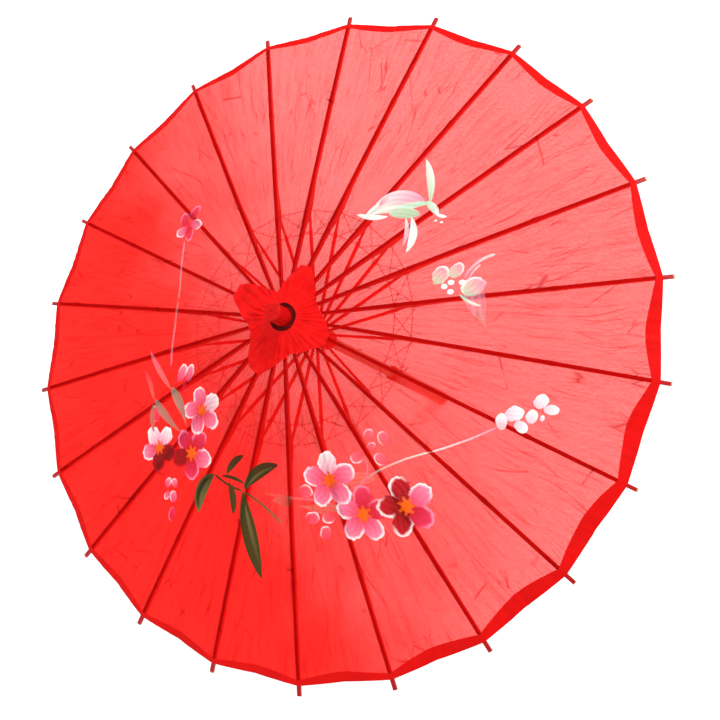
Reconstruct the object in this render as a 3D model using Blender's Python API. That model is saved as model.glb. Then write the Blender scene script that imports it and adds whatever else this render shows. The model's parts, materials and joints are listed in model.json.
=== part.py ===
"""Folding parasol with a bamboo frame and a cloth canopy, shown open.

Metres, +Z up along the shaft, origin at the bottom centre of the handle. Rib 1 points along +X.
The fold is an exact linkage: a rib's length from hub pivot to joint equals its stretcher's length
from joint to runner pivot, and both pivot circles have one radius, so the runner pivots stay
straight below the hub pivots while rib and stretcher turn by equal and opposite angles.
"""

import math

import bmesh
import bpy
from mathutils import Matrix, Vector

MM = 0.001

# Driving dimensions
BAYS = 22
TIP_RADIUS = 420 * MM
HEM_RADIUS = 408 * MM
APEX_Z = 515 * MM
RIB_SLOPE = math.radians(14.6)
RIB_DROOP = 4 * MM
PIVOT_RADIUS = 13.5 * MM
JOINT_RADIUS = 141 * MM
RIB_TOP = 1.5 * MM
JOINT_DEPTH = 6 * MM
NODE_SHARE = 0.69
SHAFT_RADIUS = 6.5 * MM
HANDLE_LENGTH = 195 * MM
HANDLE_RADIUS = 10 * MM
HUB_RADIUS = 16.5 * MM
HUB_RISE = 5 * MM
FINIAL_RADIUS = 11 * MM
FINIAL_HEIGHT = 27 * MM
CAP_SIDE = 96 * MM
CAP_HOLE_RADIUS = 18.5 * MM
CAP_TURN = math.radians(27)
CAP_SHIFT = Vector((-16 * MM, 10 * MM))
GAP = 0.3 * MM

# Small sizes
TONGUE = 1.7 * MM
SLOT = TONGUE + 2 * GAP
SLOT_FLOOR_RADIUS = 10.8 * MM
STRETCHER_DEPTH = 4 * MM
JOINT_SLOT = 2.2 * MM
THREAD_HOLE = 1 * MM
GROOVE_RADIUS = 12.4 * MM
GROOVE_HALF = 0.9 * MM
HUB_DEPTH = 8 * MM
SHAFT_SOCKET = 44 * MM
SPIGOT_RADIUS = 5 * MM
SPIGOT_LENGTH = 14 * MM
STOP_ABOVE_RUNNER = 7.5 * MM
STOP_PIN_RADIUS = 1.2 * MM
CATCH_PIN_RADIUS = 1 * MM
CATCH_LENGTH = 26 * MM
CATCH_THICKNESS = 3 * MM
CANOPY_LIFT = 0.6 * MM
CANOPY_THICKNESS = 0.8 * MM
HEM_THICKNESS = 1.4 * MM
CAP_THICKNESS = 0.8 * MM
CAP_EDGE_STEPS = 8
ROUND_STEPS = 24

# Worked out from the above
BAY = 2 * math.pi / BAYS
ALONG = Vector((math.cos(RIB_SLOPE), 0, -math.sin(RIB_SLOPE)))
ACROSS = Vector((math.sin(RIB_SLOPE), 0, math.cos(RIB_SLOPE)))
HUB_Z = APEX_Z - PIVOT_RADIUS * math.tan(RIB_SLOPE) - RIB_TOP / math.cos(RIB_SLOPE)
RIB_LENGTH = (TIP_RADIUS - PIVOT_RADIUS) / ALONG.x
JOINT_ALONG = (JOINT_RADIUS - PIVOT_RADIUS + JOINT_DEPTH * ACROSS.x) / ALONG.x
JOINT = ALONG * JOINT_ALONG - ACROSS * JOINT_DEPTH
LINK = JOINT.length
LINK_ANGLE = math.atan2(-JOINT.z, JOINT.x)
JOINT_Z = HUB_Z + JOINT.z
RUNNER_Z = HUB_Z + 2 * JOINT.z
RUNNER_PIVOT = Vector((PIVOT_RADIUS, 0, RUNNER_Z))
STRETCHER_ALONG = Vector((-math.cos(LINK_ANGLE), 0, -math.sin(LINK_ANGLE)))
STRETCHER_ACROSS = Vector((-math.sin(LINK_ANGLE), 0, math.cos(LINK_ANGLE)))
LACE_ALONG = 0.2 * LINK
SLEEVE_LENGTH = 36 * MM
CATCH_TOP = RUNNER_Z - SLEEVE_LENGTH - 0.8 * MM
CATCH_PIVOT = Vector((1 * MM, 0, CATCH_TOP - CATCH_LENGTH))


def clear_scene():
    for item in list(bpy.data.objects):
        bpy.data.objects.remove(item, do_unlink=True)


def material(name, color, roughness, metallic=0.0):
    made = bpy.data.materials.new(name)
    made.use_nodes = True
    shader = made.node_tree.nodes["Principled BSDF"]
    shader.inputs["Base Color"].default_value = (*color, 1)
    shader.inputs["Roughness"].default_value = roughness
    shader.inputs["Metallic"].default_value = metallic
    return made


def add_object(name, data, look):
    """Links a new object and gives its data one material."""
    made = bpy.data.objects.new(name, data)
    bpy.context.scene.collection.objects.link(made)
    data.materials.clear()
    data.materials.append(look)
    return made


def set_origin(item, place):
    """Moves an object's origin to a place and leaves its shape where it is."""
    item.data.transform(Matrix.Translation(-place))
    item.location = place


def mesh_from(name, shape, smooth=False):
    """Turns a bmesh into a mesh with its faces outward."""
    bmesh.ops.recalc_face_normals(shape, faces=shape.faces)
    mesh = bpy.data.meshes.new(name)
    shape.to_mesh(mesh)
    shape.free()
    if smooth:
        mesh.shade_smooth()
        mesh.set_sharp_from_angle(angle=math.radians(35))
    return mesh


def turned(name, profile, steps=ROUND_STEPS):
    """A turned solid from (radius, height) points, listed as one closed outline.

    Points with radius 0 lie on the axis and close the solid there.
    """
    shape = bmesh.new()
    corners = [shape.verts.new((radius, 0, height)) for radius, height in profile]
    edges = []
    for first, second in zip(corners, corners[1:] + corners[:1]):
        if first.co.x > 0 or second.co.x > 0:
            edges.append(shape.edges.new((first, second)))
    bmesh.ops.spin(
        shape,
        geom=corners + edges,
        axis=(0, 0, 1),
        cent=(0, 0, 0),
        angle=2 * math.pi,
        steps=steps,
        use_merge=True,
    )
    bmesh.ops.remove_doubles(shape, verts=shape.verts, dist=0.002 * MM)
    return mesh_from(name, shape, smooth=True)


def lofted(name, sections):
    """A bar through rectangular sections, each given by its four corners in order."""
    shape = bmesh.new()
    rings = [[shape.verts.new(corner) for corner in section] for section in sections]
    for ring, following in zip(rings, rings[1:]):
        for side in range(4):
            after = (side + 1) % 4
            shape.faces.new((ring[side], ring[after], following[after], following[side]))
    shape.faces.new(rings[0])
    shape.faces.new(rings[-1])
    return mesh_from(name, shape)


def plate(name, outline, thickness):
    """A flat plate in the XZ plane, as thick along Y as told."""
    shape = bmesh.new()
    face = shape.faces.new([shape.verts.new((x, -thickness / 2, z)) for x, z in outline])
    grown = bmesh.ops.extrude_face_region(shape, geom=[face])
    moved = [item for item in grown["geom"] if isinstance(item, bmesh.types.BMVert)]
    bmesh.ops.translate(shape, verts=moved, vec=(0, thickness, 0))
    return mesh_from(name, shape)


def add_box(shape, low, high):
    """Adds a box between two corners to a bmesh."""
    low = Vector(low)
    high = Vector(high)
    place = Matrix.Translation((low + high) / 2) @ Matrix.Diagonal((*(high - low), 1))
    return bmesh.ops.create_cube(shape, size=1, matrix=place)["verts"]


def add_bar(shape, centre, radius, length, sides=8):
    """Adds a round bar along Y to a bmesh."""
    place = Matrix.Translation(centre) @ Matrix.Rotation(math.pi / 2, 4, "X")
    bmesh.ops.create_cone(
        shape,
        cap_ends=True,
        segments=sides,
        radius1=radius,
        radius2=radius,
        depth=length,
        matrix=place,
    )


def cut(mesh, cutter_shape):
    """Subtracts a bmesh from a mesh and returns the result as a new mesh."""
    bmesh.ops.recalc_face_normals(cutter_shape, faces=cutter_shape.faces)
    cutter_mesh = bpy.data.meshes.new("cutter")
    cutter_shape.to_mesh(cutter_mesh)
    cutter_shape.free()
    body = bpy.data.objects.new("body", mesh)
    cutter = bpy.data.objects.new("cutter", cutter_mesh)
    cutter.hide_render = True
    cutter.display_type = "WIRE"
    for item in (body, cutter):
        bpy.context.scene.collection.objects.link(item)
    difference = body.modifiers.new("cut", "BOOLEAN")
    difference.operation = "DIFFERENCE"
    difference.solver = "EXACT"
    difference.object = cutter
    graph = bpy.context.evaluated_depsgraph_get()
    result = bpy.data.meshes.new_from_object(body.evaluated_get(graph))
    for item in (body, cutter):
        bpy.data.objects.remove(item, do_unlink=True)
    return result


def rib_point(along, across, side=0.0):
    """A point in a rib's own frame: along its slope, across it upward, and sideways."""
    beyond = max(0.0, along - JOINT_ALONG) / (RIB_LENGTH - JOINT_ALONG)
    drooped = across - RIB_DROOP * beyond * beyond
    point = ALONG * along + ACROSS * drooped
    return Vector((point.x, side, point.z))


def rib_mesh():
    """One rib with its hub pivot at the origin, its joint slot and its two thread holes."""
    node = NODE_SHARE * RIB_LENGTH
    # along, top, bottom, half width of the top and of the bottom, in millimetres
    stations = [
        (-2.0, 0.5, -0.8, 0.85, 0.85),
        (-1.2, 1.2, -1.7, 0.85, 0.85),
        (0, 1.5, -2.0, 0.85, 0.85),
        (4, 1.5, -2.2, 0.85, 0.85),
        (9, 1.5, -3.0, 1.25, 1.1),
        (60, 1.5, -4.0, 2.0, 1.6),
        (JOINT_ALONG / MM - 25, 1.5, -4.5, 2.2, 1.8),
        (JOINT_ALONG / MM - 9, 1.5, -8.3, 2.3, 1.9),
        (JOINT_ALONG / MM + 6, 1.5, -8.5, 2.3, 1.9),
        (JOINT_ALONG / MM + 20, 1.5, -7.0, 2.3, 1.9),
        (JOINT_ALONG / MM + 40, 1.5, -3.6, 2.4, 2.1),
        (node / MM - 7, 1.5, -3.3, 2.4, 2.1),
        (node / MM, 1.7, -3.6, 2.75, 2.5),
        (node / MM + 7, 1.5, -3.2, 2.35, 2.05),
        (RIB_LENGTH / MM - 60, 1.5, -2.9, 2.35, 2.05),
        (RIB_LENGTH / MM, 1.5, -2.3, 2.3, 2.0),
    ]
    sections = []
    for along, top, bottom, wide, narrow in stations:
        sections.append(
            (
                rib_point(along * MM, top * MM, -wide * MM),
                rib_point(along * MM, top * MM, wide * MM),
                rib_point(along * MM, bottom * MM, narrow * MM),
                rib_point(along * MM, bottom * MM, -narrow * MM),
            )
        )
    blank = lofted("rib", sections)
    slot = bmesh.new()
    ceiling = -JOINT_DEPTH + STRETCHER_DEPTH / 2 + GAP
    low = (JOINT_ALONG - 11 * MM, -JOINT_SLOT / 2, -14 * MM)
    high = (JOINT_ALONG + 26 * MM, JOINT_SLOT / 2, ceiling)
    sides = add_box(slot, low, high)
    bmesh.ops.rotate(slot, verts=sides, matrix=Matrix.Rotation(RIB_SLOPE, 3, "Y"))
    slotted = cut(blank, slot)
    holes = bmesh.new()
    add_bar(holes, (0, 0, 0), THREAD_HOLE, 6 * MM)
    add_bar(holes, JOINT, THREAD_HOLE, 12 * MM)
    return cut(slotted, holes)


def stretcher_point(along, across, side=0.0):
    """A point in a stretcher's own frame, whose origin is its joint with the rib."""
    point = STRETCHER_ALONG * along + STRETCHER_ACROSS * across
    return Vector((point.x, side, point.z))


def stretcher_mesh():
    """One stretcher with its joint at the origin and a thread hole at each pivot and at the lace."""
    # along, half depth, half width, in millimetres
    stations = [
        (-2.0, 0.9, 0.8),
        (-1.2, 1.7, 0.8),
        (0, 2.0, 0.8),
        (22, 2.0, 0.8),
        (25, 2.0, 1.5),
        (LINK / MM - 12, 1.9, 1.3),
        (LINK / MM - 8, 1.9, 0.85),
        (LINK / MM, 1.9, 0.85),
        (LINK / MM + 1.2, 1.6, 0.85),
        (LINK / MM + 1.9, 0.8, 0.85),
    ]
    sections = []
    for along, deep, wide in stations:
        sections.append(
            (
                stretcher_point(along * MM, deep * MM, -wide * MM),
                stretcher_point(along * MM, deep * MM, wide * MM),
                stretcher_point(along * MM, -deep * MM, wide * MM),
                stretcher_point(along * MM, -deep * MM, -wide * MM),
            )
        )
    blank = lofted("stretcher", sections)
    holes = bmesh.new()
    for along in (0, LACE_ALONG, LINK):
        add_bar(holes, stretcher_point(along, 0), THREAD_HOLE, 8 * MM)
    return cut(blank, holes)


def slot_cutter(low, high):
    """One radial slot for each bay, between two heights."""
    shape = bmesh.new()
    for index in range(BAYS):
        box = add_box(
            shape,
            (SLOT_FLOOR_RADIUS, -SLOT / 2, low),
            (HUB_RADIUS + 4 * MM, SLOT / 2, high),
        )
        bmesh.ops.rotate(shape, verts=box, matrix=Matrix.Rotation(index * BAY, 3, "Z"))
    return shape


def hub_mesh():
    """The slotted top notch, with a groove that holds the hub thread."""
    bore = SHAFT_RADIUS + GAP
    profile = [
        (bore, HUB_Z + HUB_RISE),
        (HUB_RADIUS - 1 * MM, HUB_Z + HUB_RISE),
        (HUB_RADIUS, HUB_Z + HUB_RISE - 1 * MM),
        (HUB_RADIUS, HUB_Z + GROOVE_HALF),
        (GROOVE_RADIUS, HUB_Z + GROOVE_HALF),
        (GROOVE_RADIUS, HUB_Z - GROOVE_HALF),
        (HUB_RADIUS, HUB_Z - GROOVE_HALF),
        (HUB_RADIUS, HUB_Z - 5 * MM),
        (HUB_RADIUS - 2 * MM, HUB_Z - HUB_DEPTH),
        (bore, HUB_Z - HUB_DEPTH),
    ]
    blank = turned("top_hub", profile, steps=BAYS)
    return cut(blank, slot_cutter(HUB_Z - 12 * MM, HUB_Z + 2.8 * MM))


def runner_mesh():
    """The sliding runner: a slotted crown, a thread groove and a sleeve round the shaft."""
    bore = SHAFT_RADIUS + 0.4 * MM
    profile = [
        (bore, RUNNER_Z + 5 * MM),
        (HUB_RADIUS, RUNNER_Z + 5 * MM),
        (HUB_RADIUS, RUNNER_Z + GROOVE_HALF),
        (GROOVE_RADIUS, RUNNER_Z + GROOVE_HALF),
        (GROOVE_RADIUS, RUNNER_Z - GROOVE_HALF),
        (HUB_RADIUS, RUNNER_Z - GROOVE_HALF),
        (HUB_RADIUS, RUNNER_Z - 6 * MM),
        (HUB_RADIUS - 4.5 * MM, RUNNER_Z - 12 * MM),
        (11 * MM, RUNNER_Z - SLEEVE_LENGTH + 5 * MM),
        (12 * MM, RUNNER_Z - SLEEVE_LENGTH + 3 * MM),
        (12 * MM, RUNNER_Z - SLEEVE_LENGTH),
        (bore, RUNNER_Z - SLEEVE_LENGTH),
    ]
    blank = turned("runner", profile, steps=BAYS)
    return cut(blank, slot_cutter(RUNNER_Z - 2.8 * MM, RUNNER_Z + 8 * MM))


def shaft_mesh():
    """The round shaft, with a spigot for the finial, the catch's slot and two pin holes."""
    foot = HANDLE_LENGTH - SHAFT_SOCKET
    shoulder = HUB_Z + HUB_RISE
    profile = [
        (0, shoulder + SPIGOT_LENGTH),
        (SPIGOT_RADIUS, shoulder + SPIGOT_LENGTH),
        (SPIGOT_RADIUS, shoulder),
        (SHAFT_RADIUS, shoulder),
        (SHAFT_RADIUS, foot),
        (0, foot),
    ]
    blank = turned("shaft", profile)
    cutter = bmesh.new()
    half = CATCH_THICKNESS / 2 + GAP
    add_box(
        cutter,
        (-3.4 * MM, -half, CATCH_PIVOT.z - 5 * MM),
        (9 * MM, half, CATCH_TOP + 0.4 * MM),
    )
    shaft = cut(blank, cutter)
    holes = bmesh.new()
    add_bar(holes, CATCH_PIVOT, CATCH_PIN_RADIUS + GAP, 20 * MM)
    add_bar(holes, (0, 0, RUNNER_Z + STOP_ABOVE_RUNNER), STOP_PIN_RADIUS + GAP, 20 * MM)
    return cut(shaft, holes)


def handle_mesh():
    """The turned grip, with a blind bore that takes the foot of the shaft."""
    top = HANDLE_LENGTH
    profile = [
        (0, 0),
        (HANDLE_RADIUS - 2.5 * MM, 0),
        (HANDLE_RADIUS - 0.7 * MM, 0.8 * MM),
        (HANDLE_RADIUS, 3 * MM),
        (HANDLE_RADIUS, 14 * MM),
        (HANDLE_RADIUS - 0.6 * MM, 50 * MM),
        (HANDLE_RADIUS - 0.8 * MM, 100 * MM),
        (HANDLE_RADIUS - 0.5 * MM, 150 * MM),
        (HANDLE_RADIUS - 0.2 * MM, top - 6 * MM),
        (HANDLE_RADIUS - 0.8 * MM, top - 1.6 * MM),
        (HANDLE_RADIUS - 2 * MM, top),
        (SHAFT_RADIUS + GAP, top),
        (SHAFT_RADIUS + GAP, top - SHAFT_SOCKET - GAP),
        (0, top - SHAFT_SOCKET - GAP),
    ]
    return turned("handle", profile)


def finial_mesh():
    """The turned top knob, bored from below for the shaft's spigot."""
    base = HUB_Z + HUB_RISE + GAP
    top = APEX_Z + FINIAL_HEIGHT
    bore = SPIGOT_RADIUS + GAP
    profile = [
        (0, top),
        (FINIAL_RADIUS - 3 * MM, top),
        (FINIAL_RADIUS - 0.8 * MM, top - 1.4 * MM),
        (FINIAL_RADIUS, top - 3.4 * MM),
        (FINIAL_RADIUS, top - 13 * MM),
        (FINIAL_RADIUS - 1.6 * MM, top - 15 * MM),
        (FINIAL_RADIUS - 1.6 * MM, top - 18 * MM),
        (FINIAL_RADIUS, top - 20 * MM),
        (FINIAL_RADIUS, base),
        (bore, base),
        (bore, base + SPIGOT_LENGTH + GAP),
        (0, base + SPIGOT_LENGTH + GAP),
    ]
    return turned("finial", profile)


def catch_mesh():
    """The sprung leaf that stands out of the shaft under the runner, drawn pressed in."""
    outline = [
        (-2.4 * MM, -2.4 * MM),
        (1.6 * MM, -3.6 * MM),
        (4.6 * MM, 1 * MM),
        (5.2 * MM, 5 * MM),
        (5.2 * MM, 24.6 * MM),
        (4.4 * MM, 25.6 * MM),
        (1.5 * MM, 25.6 * MM),
        (-1.5 * MM, 8 * MM),
    ]
    blank = plate("runner_catch", outline, CATCH_THICKNESS)
    hole = bmesh.new()
    add_bar(hole, (0, 0, 0), CATCH_PIN_RADIUS + GAP, 6 * MM)
    return cut(blank, hole)


def pin_mesh(name, radius, length):
    shape = bmesh.new()
    add_bar(shape, (0, 0, 0), radius, length, sides=12)
    return mesh_from(name, shape, smooth=True)


def ridge_point(along, lift, azimuth, reach=1.0):
    """A point above a rib's top line, turned to an azimuth, with its radius scaled by reach."""
    point = rib_point(along, RIB_TOP + lift)
    radius = (PIVOT_RADIUS + point.x) * reach
    return Vector((radius * math.cos(azimuth), radius * math.sin(azimuth), HUB_Z + point.z))


def close_shell(shape, rings):
    """Joins rings of points, each to the next and the last to the first, into a closed shell."""
    for ring, following in zip(rings, rings[1:] + rings[:1]):
        for step in range(len(ring)):
            after = (step + 1) % len(ring)
            shape.faces.new((ring[step], ring[after], following[after], following[step]))


def canopy_mesh():
    """The cloth as one thin closed shell: flat panels from rib to rib, with a thicker hem."""
    start = 4.4 * MM
    hem = (HEM_RADIUS - PIVOT_RADIUS) / ALONG.x
    stations = [start, 60 * MM, JOINT_ALONG, NODE_SHARE * RIB_LENGTH, hem - 20 * MM]
    stations += [hem - 18 * MM, hem]
    shape = bmesh.new()
    under = []
    over = []
    for along in stations:
        thickness = HEM_THICKNESS if along > hem - 19 * MM else CANOPY_THICKNESS
        low_ring = []
        high_ring = []
        for step in range(2 * BAYS):
            azimuth = step * BAY / 2
            reach = 1.0
            if step % 2:
                reach = math.cos(BAY / 2)
                if along == hem:
                    reach -= 0.004
            low_ring.append(shape.verts.new(ridge_point(along, CANOPY_LIFT, azimuth, reach)))
            lift = CANOPY_LIFT + thickness
            high_ring.append(shape.verts.new(ridge_point(along, lift, azimuth, reach)))
        under.append(low_ring)
        over.append(high_ring)
    close_shell(shape, under + over[::-1])
    return mesh_from("canopy", shape)


def cap_outline():
    """Points along the four edges of the square top cloth, seen from above."""
    half = CAP_SIDE / 2
    corners = [Vector(corner) * half for corner in ((1, 1), (-1, 1), (-1, -1), (1, -1))]
    points = []
    for first, second in zip(corners, corners[1:] + corners[:1]):
        for step in range(CAP_EDGE_STEPS):
            points.append(first.lerp(second, step / CAP_EDGE_STEPS))
    turn = Matrix.Rotation(CAP_TURN, 2)
    return [turn @ point + CAP_SHIFT for point in points]


def cap_mesh():
    """The square top cloth, draped on the canopy round the finial, a little off its centre."""
    lift = CANOPY_LIFT + CANOPY_THICKNESS + 0.5 * MM
    outline = cap_outline()
    under = []
    over = []
    shape = bmesh.new()
    for share in (0.0, 0.5, 1.0):
        low_ring = []
        high_ring = []
        for edge in outline:
            radius = CAP_HOLE_RADIUS + share * (edge.length - CAP_HOLE_RADIUS)
            along = (radius - PIVOT_RADIUS) / ALONG.x
            azimuth = math.atan2(edge.y, edge.x)
            low_ring.append(shape.verts.new(ridge_point(along, lift, azimuth)))
            high_ring.append(shape.verts.new(ridge_point(along, lift + CAP_THICKNESS, azimuth)))
        under.append(low_ring)
        over.append(high_ring)
    close_shell(shape, under + over[::-1])
    return mesh_from("top_cap", shape)


def add_thread(name, points, radius, look):
    """A closed loop of thread through the given points."""
    curve = bpy.data.curves.new(name, "CURVE")
    curve.dimensions = "3D"
    curve.twist_mode = "Z_UP"
    curve.bevel_depth = radius
    curve.bevel_resolution = 0
    spline = curve.splines.new("POLY")
    spline.points.add(len(points) - 1)
    for target, point in zip(spline.points, points):
        target.co = (*point, 1)
    spline.use_cyclic_u = True
    return add_object(name, curve, look)


def ring_points(radius, height):
    """One point at each rib's azimuth."""
    return [
        Vector((radius * math.cos(index * BAY), radius * math.sin(index * BAY), height))
        for index in range(BAYS)
    ]


def lace_points(first, across):
    """A zigzag: under the ribs just past every other joint, and past the stretchers between."""
    outer = rib_point(JOINT_ALONG + 4 * MM, -9.6 * MM)
    inner = JOINT + stretcher_point(LACE_ALONG + 4 * MM, across)
    points = []
    for index in range(BAYS):
        place = outer if index % 2 == first else inner
        radius = PIVOT_RADIUS + place.x
        azimuth = index * BAY
        x = radius * math.cos(azimuth)
        y = radius * math.sin(azimuth)
        points.append(Vector((x, y, HUB_Z + place.z)))
    return points


def build_ribs(look):
    mesh = rib_mesh()
    for index in range(BAYS):
        azimuth = index * BAY
        rib = add_object(f"rib_{index + 1:02d}", mesh, look)
        rib.location = (
            PIVOT_RADIUS * math.cos(azimuth),
            PIVOT_RADIUS * math.sin(azimuth),
            HUB_Z,
        )
        rib.rotation_euler = (0, 0, azimuth)


def build_stretchers(look):
    mesh = stretcher_mesh()
    for index in range(BAYS):
        azimuth = index * BAY
        stretcher = add_object(f"stretcher_{index + 1:02d}", mesh, look)
        stretcher.location = (
            JOINT_RADIUS * math.cos(azimuth),
            JOINT_RADIUS * math.sin(azimuth),
            JOINT_Z,
        )
        stretcher.rotation_euler = (0, 0, azimuth)


def build_core():
    """The turned wooden parts along the shaft, the catch and the two pins."""
    wood = material("shaft_wood", (0.42, 0.20, 0.09), 0.5)
    handle_wood = material("handle_wood", (0.30, 0.10, 0.05), 0.4)
    red_wood = material("red_wood", (0.55, 0.03, 0.03), 0.45)
    steel = material("pin_steel", (0.6, 0.6, 0.6), 0.35, 1.0)
    bamboo = material("catch_bamboo", (0.62, 0.42, 0.2), 0.5)
    add_object("shaft", shaft_mesh(), wood)
    add_object("handle", handle_mesh(), handle_wood)
    add_object("finial", finial_mesh(), red_wood)
    add_object("top_hub", hub_mesh(), red_wood.copy())
    runner = add_object("runner", runner_mesh(), red_wood.copy())
    set_origin(runner, RUNNER_PIVOT)
    catch = add_object("runner_catch", catch_mesh(), bamboo)
    catch.location = CATCH_PIVOT
    pin = add_object("catch_pin", pin_mesh("catch_pin", CATCH_PIN_RADIUS, 12.4 * MM), steel)
    pin.location = CATCH_PIVOT
    stop_pin = pin_mesh("upper_stop_pin", STOP_PIN_RADIUS, 21 * MM)
    stop = add_object("upper_stop_pin", stop_pin, steel.copy())
    stop.location = (0, 0, RUNNER_Z + STOP_ABOVE_RUNNER)


def build_threads():
    """The threads that hinge the ribs and stretchers, and the laces between them."""
    look = material("thread", (0.45, 0.03, 0.03), 0.7)
    add_thread("hub_thread", ring_points(PIVOT_RADIUS, HUB_Z), 0.55 * MM, look)
    runner_ring = ring_points(PIVOT_RADIUS, RUNNER_Z)
    runner_thread = add_thread("runner_thread", runner_ring, 0.55 * MM, look.copy())
    set_origin(runner_thread, RUNNER_PIVOT)
    add_thread("joint_thread", ring_points(JOINT_RADIUS, JOINT_Z), 0.45 * MM, look.copy())
    lace = JOINT + stretcher_point(LACE_ALONG, 0)
    inner = ring_points(PIVOT_RADIUS + lace.x, HUB_Z + lace.z)
    add_thread("inner_thread", inner, 0.4 * MM, look.copy())
    add_thread("lacing_thread_a", lace_points(0, 3 * MM), 0.4 * MM, look.copy())
    add_thread("lacing_thread_b", lace_points(1, -3 * MM), 0.4 * MM, look.copy())


def main():
    clear_scene()
    build_ribs(material("rib_bamboo", (0.5, 0.02, 0.02), 0.5))
    build_stretchers(material("stretcher_bamboo", (0.48, 0.03, 0.03), 0.5))
    build_core()
    build_threads()
    add_object("canopy", canopy_mesh(), material("canopy_cloth", (0.9, 0.06, 0.05), 0.8))
    add_object("top_cap", cap_mesh(), material("cap_cloth", (0.8, 0.04, 0.04), 0.8))


main()
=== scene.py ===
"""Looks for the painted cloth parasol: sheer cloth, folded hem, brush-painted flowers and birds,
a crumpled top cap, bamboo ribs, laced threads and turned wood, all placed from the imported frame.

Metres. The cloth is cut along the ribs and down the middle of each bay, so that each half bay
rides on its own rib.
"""

import json
import math

import bpy
import numpy as np
from mathutils import Matrix, Vector

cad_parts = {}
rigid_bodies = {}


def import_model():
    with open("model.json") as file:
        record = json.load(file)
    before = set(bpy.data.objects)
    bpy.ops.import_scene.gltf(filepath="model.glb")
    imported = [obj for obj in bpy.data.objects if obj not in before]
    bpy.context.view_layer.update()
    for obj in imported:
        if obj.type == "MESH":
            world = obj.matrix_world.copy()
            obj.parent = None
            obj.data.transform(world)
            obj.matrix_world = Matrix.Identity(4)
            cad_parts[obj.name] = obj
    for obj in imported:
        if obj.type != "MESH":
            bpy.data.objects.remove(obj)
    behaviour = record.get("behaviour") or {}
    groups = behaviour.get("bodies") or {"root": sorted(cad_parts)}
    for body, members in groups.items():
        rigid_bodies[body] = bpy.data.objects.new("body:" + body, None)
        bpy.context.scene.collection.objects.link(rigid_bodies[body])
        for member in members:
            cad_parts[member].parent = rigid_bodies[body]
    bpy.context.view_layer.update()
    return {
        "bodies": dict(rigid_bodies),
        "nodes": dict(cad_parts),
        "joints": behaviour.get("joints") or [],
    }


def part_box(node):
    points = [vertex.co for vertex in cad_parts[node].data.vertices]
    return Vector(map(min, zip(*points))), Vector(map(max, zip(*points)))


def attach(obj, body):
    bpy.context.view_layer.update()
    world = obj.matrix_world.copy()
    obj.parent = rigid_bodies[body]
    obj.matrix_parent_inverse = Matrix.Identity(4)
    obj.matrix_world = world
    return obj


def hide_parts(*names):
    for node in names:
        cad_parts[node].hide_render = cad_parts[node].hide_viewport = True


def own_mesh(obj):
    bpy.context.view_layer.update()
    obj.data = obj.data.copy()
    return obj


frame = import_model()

MM = 0.001

# Frame: joint places, which fix the rib's line
HINGES = {joint["name"]: joint for joint in frame["joints"]}
PIVOT_RADIUS = HINGES["canopy_fold"]["pos_m"][0]
HUB_Z = HINGES["canopy_fold"]["pos_m"][2]
JOINT_RADIUS = HINGES["stretcher_01_swing"]["pos_m"][0]
JOINT_Z = HINGES["stretcher_01_swing"]["pos_m"][2]
BAYS = sum(1 for name in frame["bodies"] if name.startswith("rib_"))
BAY = 2 * math.pi / BAYS
HALF_BAY = BAY / 2

# The rib's line, as the frame's ribs are made
RIB_SLOPE = math.radians(14.6)
RIB_DROOP = 4 * MM
RIB_TOP = 1.5 * MM
JOINT_DEPTH = 6 * MM
TIP_RADIUS = 420 * MM
COS_SLOPE = math.cos(RIB_SLOPE)
SIN_SLOPE = math.sin(RIB_SLOPE)
RIB_LENGTH = (TIP_RADIUS - PIVOT_RADIUS) / COS_SLOPE
JOINT_ALONG = (JOINT_RADIUS - PIVOT_RADIUS + JOINT_DEPTH * SIN_SLOPE) / COS_SLOPE

# Cloth
HEM_RADIUS = 408 * MM
HEM_ALONG = (HEM_RADIUS - PIVOT_RADIUS) / COS_SLOPE
CLOTH_START = 4.4 * MM
CLOTH_LIFT = 0.5 * MM
CLOTH_SAG = 1.2 * MM
HEM_DIP = 0.004
BAND_ENDS = (CLOTH_START, 45 * MM, 130 * MM, 250 * MM, HEM_ALONG)
BAND_COLUMN_STEPS = (4, 2, 1, 1)
COLUMNS = 28
ROW_STEP = 1.5 * MM
SHEER = 0.19
TRANSLUCENT = 0.84
# Painted light: what shows through the gaps is pale towards this side of the cloth and deep red on the
# other side
PAINTED_LIGHT_SIDE = (0.8, 0.6, 0)
SEE_THROUGH_RED = (1.0, 0.095, 0.08)
SEE_THROUGH_PALE = (1.0, 0.86, 0.84)
HEM_NARROW = 10 * MM
HEM_EXTRA = 10 * MM
HEM_WIDE_SIDE = math.radians(-22)
HEM_WIDE_REACH = math.radians(42)
HEM_AT_RIB = 0.55
HEM_LAYER = 0.3 * MM

# Top cap: azimuth in degrees and radius of each corner, and of the waist after it
CAP_CORNERS = ((-17, 58), (82, 65), (160, 83), (243, 71))
CAP_WAISTS = ((32, 41), (121, 35), (203, 47), (294, 43))
CAP_HOLE = 14.6 * MM
CAP_LIFT = 1.6 * MM
CAP_COLUMNS = 16
CAP_ROWS = 30
PINK_PITCH = 3 * MM
PINK_DEPTH = 1.3 * MM

# Threads
THREAD_RADIUS = 0.42 * MM
LACE_SHARE = 0.2
LACE_CLEAR = 4 * MM
LACE_SPREAD = 3 * MM


# ---------------------------------------------------------------- mesh helpers


def link_object(name, data):
    """A new object in the scene that holds the given data."""
    made = bpy.data.objects.new(name, data)
    bpy.context.scene.collection.objects.link(made)
    return made


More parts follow.
